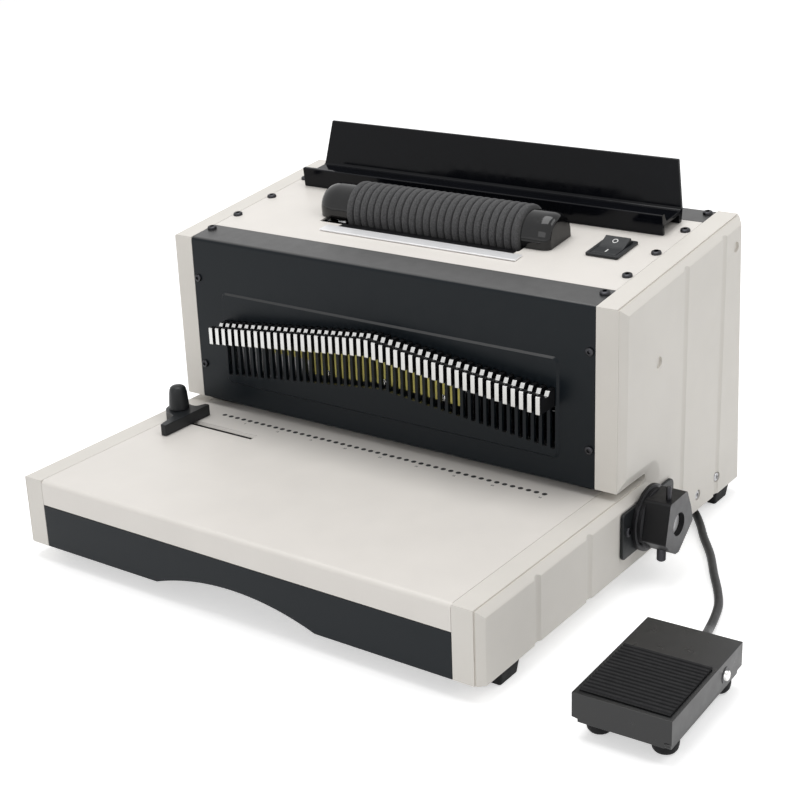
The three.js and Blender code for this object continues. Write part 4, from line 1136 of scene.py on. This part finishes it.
def make_caps():
    left = [(76, 1), (77, 1), (91, 1), (96, 0.975), (100.5, 0.89), (103.4, 0.77), (104.8, 0.62)]
    right = [(76, 1), (77, 1), (89, 1), (93.5, 0.98), (96, 0.92), (97.5, 0.84), (98, 0.76)]
    gear_room = [
        cut(rod("x", ROLLER_V, ROLLER_W, -95.5, -79, 14.9, 48)),
        cut(box(-95.5, -79, ROLLER_V - 14.8, ROLLER_V + 14.8, -8, ROLLER_W)),
    ]
    for side, name, levels, bore, more in (
        (-1, "left", left, 99.8, gear_room),
        (1, "right", right, 93, []),
    ):
        rings = [[(side * x, v, w) for v, w in cap_outline(scale)] for x, scale in levels]
        low, high = sorted((side * 70, side * bore))
        part(f"cap_{name}", "cap", add_rings(bmesh.new(), rings),
             cut(rod("x", ROLLER_V, ROLLER_W, low, high, 4.5)), *more,
             node=f"roller_cap_{name}", space=DECK, edge=1.0, angle=28)


def make_guide_strip():
    """A bright strip on the deck, with a lip that curls down below the roller; the lip gets a dark look as
    painted shade for the shadow under the roller.
    """
    front, back, inset = 45.3, 55.5, 0.3
    strip = across(fillet(rectangle(front, back, GAP, SHEET), 0.5, 3), 85)
    part("guide_sheet", "silver", strip, node="guide_strip", space=DECK, edge=0.15)
    arcs = [*arc(ROLLER_V, ROLLER_W, 23.8, 192, 226, 10), *arc(ROLLER_V, ROLLER_W, 22.6, 226, 192, 10)]
    lip = across([(back - inset, GAP), *arcs, (back - inset, 1.0)], 76)
    # The lip's dark look is painted shade, standing for the shadow under the roller.
    part("guide_lip", "screw", lip, space=DECK, edge=0.15)


def make_tray():
    """The coil tray: one drawn section whose leaning back is cut off aslant at both ends."""
    half = 158.5
    profile = fillet([
        (122.6, GAP, 0.3), (125.4, GAP, 0.3), (125.4, 6.6, 0.6), (148, 6.6, 0.6), (148, GAP, 0.3),
        (151.6, GAP, 0.3), (162.6, 43, 0.9), (159.8, 43, 0.9), (151.2, 9.2, 2.5), (128.5, 9.2, 2.0),
        (125.8, 15.3, 0.8), (122.6, 15.3, 0.8),
    ])
    taper = [(152.7, 43.5), (half, 10), (170, 10), (170, 50), (152, 50)]
    ends = [cut(prism("y", [(side * x, w) for x, w in taper], 145, 170)) for side in (1, -1)]
    part("tray_section", "enamel", across(profile, half), *ends, node="coil_tray", space=DECK,
         edge=0.25)


def switch_box(half_x, half_v, low, high):
    return prism("z", around(SWITCH_X, SWITCH_V, half_x, half_v), low, high)


def make_switch():
    outer = fillet(around(SWITCH_X, SWITCH_V, 12.5, 15.5), 1.2)
    part("bezel", "plastic", prism("z", outer, GAP, 2.2), add(switch_box(10.9, 13.9, -20, 1)),
         cut(switch_box(10, 13, -12, 5)), node="switch_bezel", space=DECK, edge=0.5)
    side = fillet([
        (-11.9, 2.5, 0.3), (-8, -5, 0.5), (8, -5, 0.5), (11.9, 2.5, 0.3), (11.9, 6.4, 0.9), (0, 4.3, 12),
        (-11.9, 6.4, 0.9),
    ], steps=5)
    part("rocker", "plastic", prism("x", side, SWITCH_X - 9.6, SWITCH_X + 9.6), node="switch_rocker",
         body="switch_rocker", space=ROCKER, edge=0.5)
    ring = lathe("z", 0, 0, [(1.5, 0), (2.1, 0), (2.1, 0.12), (1.5, 0.12)], 32)
    bar = box(-0.5, 0.5, -2.2, 2.2, 0, 0.12)
    lean = math.radians(10.0)
    for name, bm, y, tilt in (("mark_off", ring, 6.6, lean), ("mark_on", bar, -6.2, -lean)):
        height = 4.35 + (abs(y) - 0.5) * math.tan(math.radians(9.8))
        space = ROCKER @ Matrix.Translation((SWITCH_X, y, height)) @ Matrix.Rotation(tilt, 4, "X")
        part(name, "white", bm, body="switch_rocker", space=space, edge=0)


# Handle hub


def shaft_rod(low, high, radius, sides=32):
    """A round piece on the handle shaft's axis."""
    return rod("x", SHAFT_Y, SHAFT_Z, low, high, radius, sides)


def make_hub():
    back, front, end = OUTER_X + GAP, OUTER_X + 2.6, 220
    plate = fillet([(170, -40, 3), (244, -40, 5), (244, -6.5, 5), (170, -6.5, 3)], steps=6)
    part("hub_base", "plastic", prism("x", plate, back, front), cut(shaft_rod(190, 200, SHAFT_HOLE_RADIUS)),
         node="hub_plate", edge=0.5)
    screws("hub_plate_screw", "screw", "x", 1, 3.4, 1.6, [(177, SHAFT_Z, front)])
    corners = [(-19.2, -8.8), (-4.5, -20.6), (1, -21), (21.5, -5.3), (18.3, 5.7), (11.7, 19.9), (-13, 19)]
    outline = fillet([(SHAFT_Y + y, SHAFT_Z + z) for y, z in corners], 2.0, 5)
    part("hub_disc", "hub", shaft_rod(front + GAP, 199.3, 23.5, 64), add(shaft_rod(198.3, 202, 21, 64)),
         add(prism("x", outline, 201, end)), cut(shaft_rod(190, end + 10, 8.2, 48)),
         cut(rod("z", HUB_SCREW_X, HUB_SCREW_Y, -60, SHAFT_Z - 5, 3.5, 24)),
         node="handle_hub", body="handle_shaft", edge=0.6)
    stud = [(0, -28), (2.4, -28), (3.2, -27.2), (3.2, -9), (0, -9)]
    stud = lathe("z", HUB_SCREW_X, HUB_SCREW_Y, [(r, SHAFT_Z + z) for r, z in stud], 32)
    part("hub_stud", "screw", stud, node="hub_screw", body="handle_shaft", edge=0)
    part("main_shaft_end", "silver", shaft_rod(213.5, 216.2, 7.9), body="handle_shaft", slot="nickel")
    pin = lathe("z", 215, 199, [(0, -4), (1.9, -4), (1.9, 7.2), (1.3, 8), (0, 8)], 24)
    part("hub_top_pin", "screw", pin, body="handle_shaft", edge=0)


# Edge guide


def make_edge_guide():
    outline = fillet([
        (-151, 105.5, 0.8), (-151, 155, 0.8), (-155, 155, 0.8), (-158, 147.5, 3),
        *arc(GUIDE_X, GUIDE_SLOT_Y, 10.4, 70, 250, 24),
        (-160, 124, 3), (-156, 105.5, 0.8),
    ], steps=5)
    bore = rod("z", GUIDE_X, GUIDE_SLOT_Y, -5, 12, 2.8)
    part("guide_bar", "plastic", prism("z", outline, GAP, 9), cut(bore), node="edge_guide",
         body="edge_guide", edge=0.5)
    knob = lathe("z", GUIDE_X, GUIDE_SLOT_Y, [
        (0, -5), (2.5, -5), (2.5, 9.3), (7.4, 9.3), (7.8, 9.7), (6.9, 21.5), (6.4, 24.3), (5.7, 26),
        (4.5, 26.9), (2.4, 27.6), (0, 27.8),
    ], 64)
    part("knob", "plastic", knob, node="guide_knob", body="guide_knob", edge=0, angle=25)


# Feet and rear fittings


def make_feet():
    for end, y in (("front", 37.0), ("rear", 339.5)):
        for name, side in (("right", 1), ("left", -1)):
            x = side * FOOT_X
            rings = []
            for half, z in ((10.0, FLOOR), (11.5, BASE_BOTTOM - 1.8), (11.5, BASE_BOTTOM - 1.0)):
                rings.append([(a, b, z) for a, b in fillet(around(x, y, half, half), 1.6)])
            bm = add_rings(bmesh.new(), rings)
            low, high = sorted((side * 160, side * 188))
            flange = fillet(rectangle(low, high, y - 20, y + 20), 2)
            prism("z", flange, BASE_BOTTOM - 2, BASE_BOTTOM - GAP, bm)
            part(f"rubber_foot_{end}_{name}", "rubber", bm, node=f"foot_{end}_{name}", edge=0.4)


def make_gland(name, node, space, x, z, wall, length):
    """A ribbed and tapered sleeve that looks back from a wall."""
    bore, ribs = CORD_DIAMETER / 2 + 0.4, 5
    width = (length - 3.2) / ribs
    profile = [(bore, -6), (4.3, -6), (4.3, 0.6), (6.2, 0.6), (6.5, 1.0), (6.5, 2.2), (6.1, 2.6)]
    for k in range(ribs):
        start, radius = 3.0 + width * k, 5.1 - 0.9 * k / ribs
        for drop, share in ((0, 0), (0, 0.6), (0.5, 0.7), (0.5, 0.9)):
            profile.append((radius - drop, start + share * width))
    profile += [(4.1, length - 0.1), (bore, length)]
    bm = lathe("y", x, z, [(r, h + wall) for r, h in profile], 40)
    part(name, "rubber", bm, node=node, space=space, edge=0)


def make_glands():
    make_gland("gland_sleeve", "cord_gland", MACHINE, GLAND_X, GLAND_Z, rear_y(GLAND_Z), GLAND_LENGTH)
    make_gland("pedal_gland_sleeve", "pedal_gland", PEDAL, 0, PEDAL_CORD_Z, PEDAL_WALL_Y,
               PEDAL_GLAND_LENGTH)


def make_inlet():
    x, y, z = INLET_X, rear_y(INLET_Z), INLET_Z
    flange = [(16, -12), (25, 0), (16, 12), (-16, 12), (-25, 0), (-16, -12)]
    mouth = [(-12, -8.2), (12, -8.2), (12, 3.5), (7.5, 8.2), (-7.5, 8.2), (-12, 3.5)]
    flange = fillet([(x + a, z + b) for a, b in flange], 2.5, 5)
    mouth = fillet([(x + a, z + b) for a, b in mouth], 1)
    holes = [cut(rod("y", x + side * 20, z, y - 2, y + 5, 1.7, 24)) for side in (-1, 1)]
    part("inlet_body", "plastic", prism("y", flange, y + 0.8, y + 3.2),
         add(box(x - 14, x + 14, y - 20, y + 2, z - 10, z + 10)), cut(prism("y", mouth, y - 15, y + 5)),
         *holes, node="power_inlet")
    blades = bmesh.new()
    for dx, dz in ((-6, -2.5), (0, 2.5), (6, -2.5)):
        box(x + dx - 1, x + dx + 1, y - 16, y - 1, z + dz - 2, z + dz + 2, blades)
    part("inlet_blades", "nickel", blades)


def make_chip_tray():
    half, front, back, low = CHIP_HALF, 152, REAR_BOTTOM_Y, -49.2
    face = box(-half - 3.5, half + 3.5, back - 2.5, back + 0.2, low, -31.5)
    hollow = box(-half + SHEET, half - SHEET, front + SHEET, back - 3, low + SHEET, -30)
    grip = fillet([
        (back - 0.5, -44), (back + 4, -42, 0.8), (back + 6, -38, 0.4), (back + 4, -38, 0.4),
        (back + 2.8, -40.2, 0.8), (back - 0.5, -41.5),
    ])
    part("chip_tub", "panel", box(-half, half, front, back - 1.8, low, -32.2), add(face), cut(hollow),
         add(across(grip, 28)), node="chip_tray", body="chip_tray")


# Pedal


def pivot_lathe(profile, sides, bm=None):
    """A round piece on the pedal's pin."""
    return lathe("x", PEDAL_PIVOT_Y, PEDAL_PIVOT_Z, profile, sides, bm)


def pivot_hole(half):
    return rod("x", PEDAL_PIVOT_Y, PEDAL_PIVOT_Z, -half, half, 2.2)


def make_treadle():
    half, front, rear = PEDAL_WIDTH / 2, -PEDAL_LENGTH / 2, PEDAL_LENGTH / 2
    hollow = box(-half + SHEET, half - SHEET, front + SHEET, rear + 5, 5, PEDAL_TOP - SHEET)
    apron = prism("y", [(-half, 16), (-half, 15), (-half + 4, 15), (-half + 4, 11.5), (half - 4, 11.5),
                        (half - 4, 15), (half, 15), (half, 16)], front, front + SHEET)
    part("treadle_shell", "pedal", box(-half, half, front, rear, 14, PEDAL_TOP), cut(hollow), add(apron),
         cut(pivot_hole(half + 5)), node="pedal_treadle", body="pedal_treadle", space=PEDAL, edge=0.7)


def make_pan():
    half, wall = 28.6, SHEET
    front, rear = -PEDAL_LENGTH / 2 + 4.5, PEDAL_WALL_Y
    outline = fillet([
        (front, 8, 2), (rear, 8, 2), (rear, 26.5, 1), (PEDAL_PIVOT_Y - 8, 26, 2),
        (PEDAL_PIVOT_Y - 16, 18, 2), (front, 16, 1),
    ], steps=5)
    hollow = box(wall - half, half - wall, front + wall, rear - wall, 8 + wall, 40)
    end = PEDAL_LENGTH / 2
    holes = merge(pivot_hole(32), rod("y", 0, PEDAL_CORD_Z, end - 5, end + 5, GLAND_HOLE_RADIUS))
    part("pedal_pan", "pedal", across(outline, half), cut(hollow), cut(holes), node="pedal_base",
         space=PEDAL, edge=0.4)


def make_pad():
    ribs, front, length = 16, -46.5, 58.5
    step = length / ribs
    outline = [(front + length, PEDAL_TOP + GAP), (front + length, PEDAL_TOP + 1)]
    for i in range(ribs, 0, -1):
        end = front + i * step
        for share, height, radius in ((0.15, 1.8, 0.35), (0.6, 1.8, 0.35), (0.75, 0.9, 0.2), (1, 0.9, 0.2)):
            outline.append((end - share * step, PEDAL_TOP + height, radius))
    outline.append((front, PEDAL_TOP + GAP))
    part("treadle_pad", "rubber", across(fillet(outline, steps=3), 28), node="pedal_pad",
         body="pedal_treadle", space=PEDAL, edge=0.2)


def make_pedal_pin():
    head = [(2, 31.3), (3.4, 31.3), (3.1, 32.8), (2.4, 33.3), (0, 33.4)]
    profile = [*((r, -x) for r, x in reversed(head)), *head]
    part("treadle_pin", "nickel", pivot_lathe(profile, 32), node="pedal_pin", space=PEDAL, edge=0)
    rings = bmesh.new()
    for low, high in ((31.04, 31.28), (-31.28, -31.04)):
        pivot_lathe([(2.1, low), (5.2, low), (5.2, high), (2.1, high)], 40, rings)
    part("treadle_washers", "screw", rings, space=PEDAL, edge=0)


def make_pedal_feet():
    profile = [(0, 0), (4.6, 0), (6.4, 0.7), (7.5, 2.2), (8.0, 4.2), (8.2, 5.8), (8.2, 7.7), (0, 7.7)]
    for end, y in (("front", -35), ("rear", 39)):
        for side, x in (("left", -20.5), ("right", 20.5)):
            part(f"pedal_pad_foot_{end}_{side}", "rubber", lathe("z", x, y, profile, 40),
                 node=f"pedal_foot_{end}_{side}", space=PEDAL, edge=0)


# Springs and the nodes that keep their CAD shape


def wound_spring(name, space, x, y, low, high, radius, wire, turns, node):
    """A spring wound round an upright line, with no body."""
    steps, sides = turns * 20, 8
    rings = []
    for i in range(steps + 1):
        t = 2 * math.pi * turns * i / steps
        z = low + wire + (high - low - 2 * wire) * i / steps
        out = Vector((math.cos(t), math.sin(t), 0))
        centre = Vector((x, y, z)) + out * radius
        rings.append([
            centre + (out * math.cos(s) + Vector((0, 0, 1)) * math.sin(s)) * wire
            for s in (2 * math.pi * k / sides for k in range(sides))
        ])
    bm = add_rings(bmesh.new(), rings)
    return part(name, "steel", bm, node=node, body=None, space=space, edge=0, angle=60)


def make_springs():
    """Wound springs in place of the plain sleeves, each with one end on the part that moves."""
    low, high = 100.3, 127.7
    for name, x in (("left", -150.0), ("right", 150.0)):
        spring = wound_spring(f"coil_spring_{name}", MACHINE, x, PIN_Y, low, high, 6.0, 1.0, 7,
                              f"return_spring_{name}")
        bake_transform(spring)
    y, low, high = -12, 9.8, 28.2
    spring = wound_spring("coil_spring_pedal", PEDAL, 0, y, low, high, 4.75, 0.75, 6, "pedal_spring")
    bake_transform(spring)


KEPT_NODES = {
    "steel": ("frame_left", "frame_right", "die_block", "idler_shaft", "inserter_motor"),
    "brass": ("shaft_bush_left", "shaft_bush_right", "motor_pinion"),
    "silver": ("main_shaft",),
    "aluminium": ("roller_core",),
}


def dress_kept_nodes():
    for look, nodes in KEPT_NODES.items():
        for node in nodes:
            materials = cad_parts[node].data.materials
            materials.clear()
            materials.append(LOOKS[look][1])


bpy.context.scene.view_settings.view_transform = "Standard"
for make in (
    make_camera, make_cord, make_stage, make_world, make_lamps,
    make_side_covers, make_table, make_scale, make_base_front, make_bottom, make_punch_front, make_rear,
    make_deck, make_screws, make_ram, make_fixed_tabs, make_ram_plate, make_loose_tabs, make_sleeve,
    make_caps, make_guide_strip, make_tray, make_switch, make_hub, make_edge_guide, make_feet,
    make_glands, make_inlet, make_chip_tray, make_treadle, make_pan, make_pad, make_pedal_pin,
    make_pedal_feet, make_springs, dress_kept_nodes,
):
    make()

bpy.context.view_layer.update()
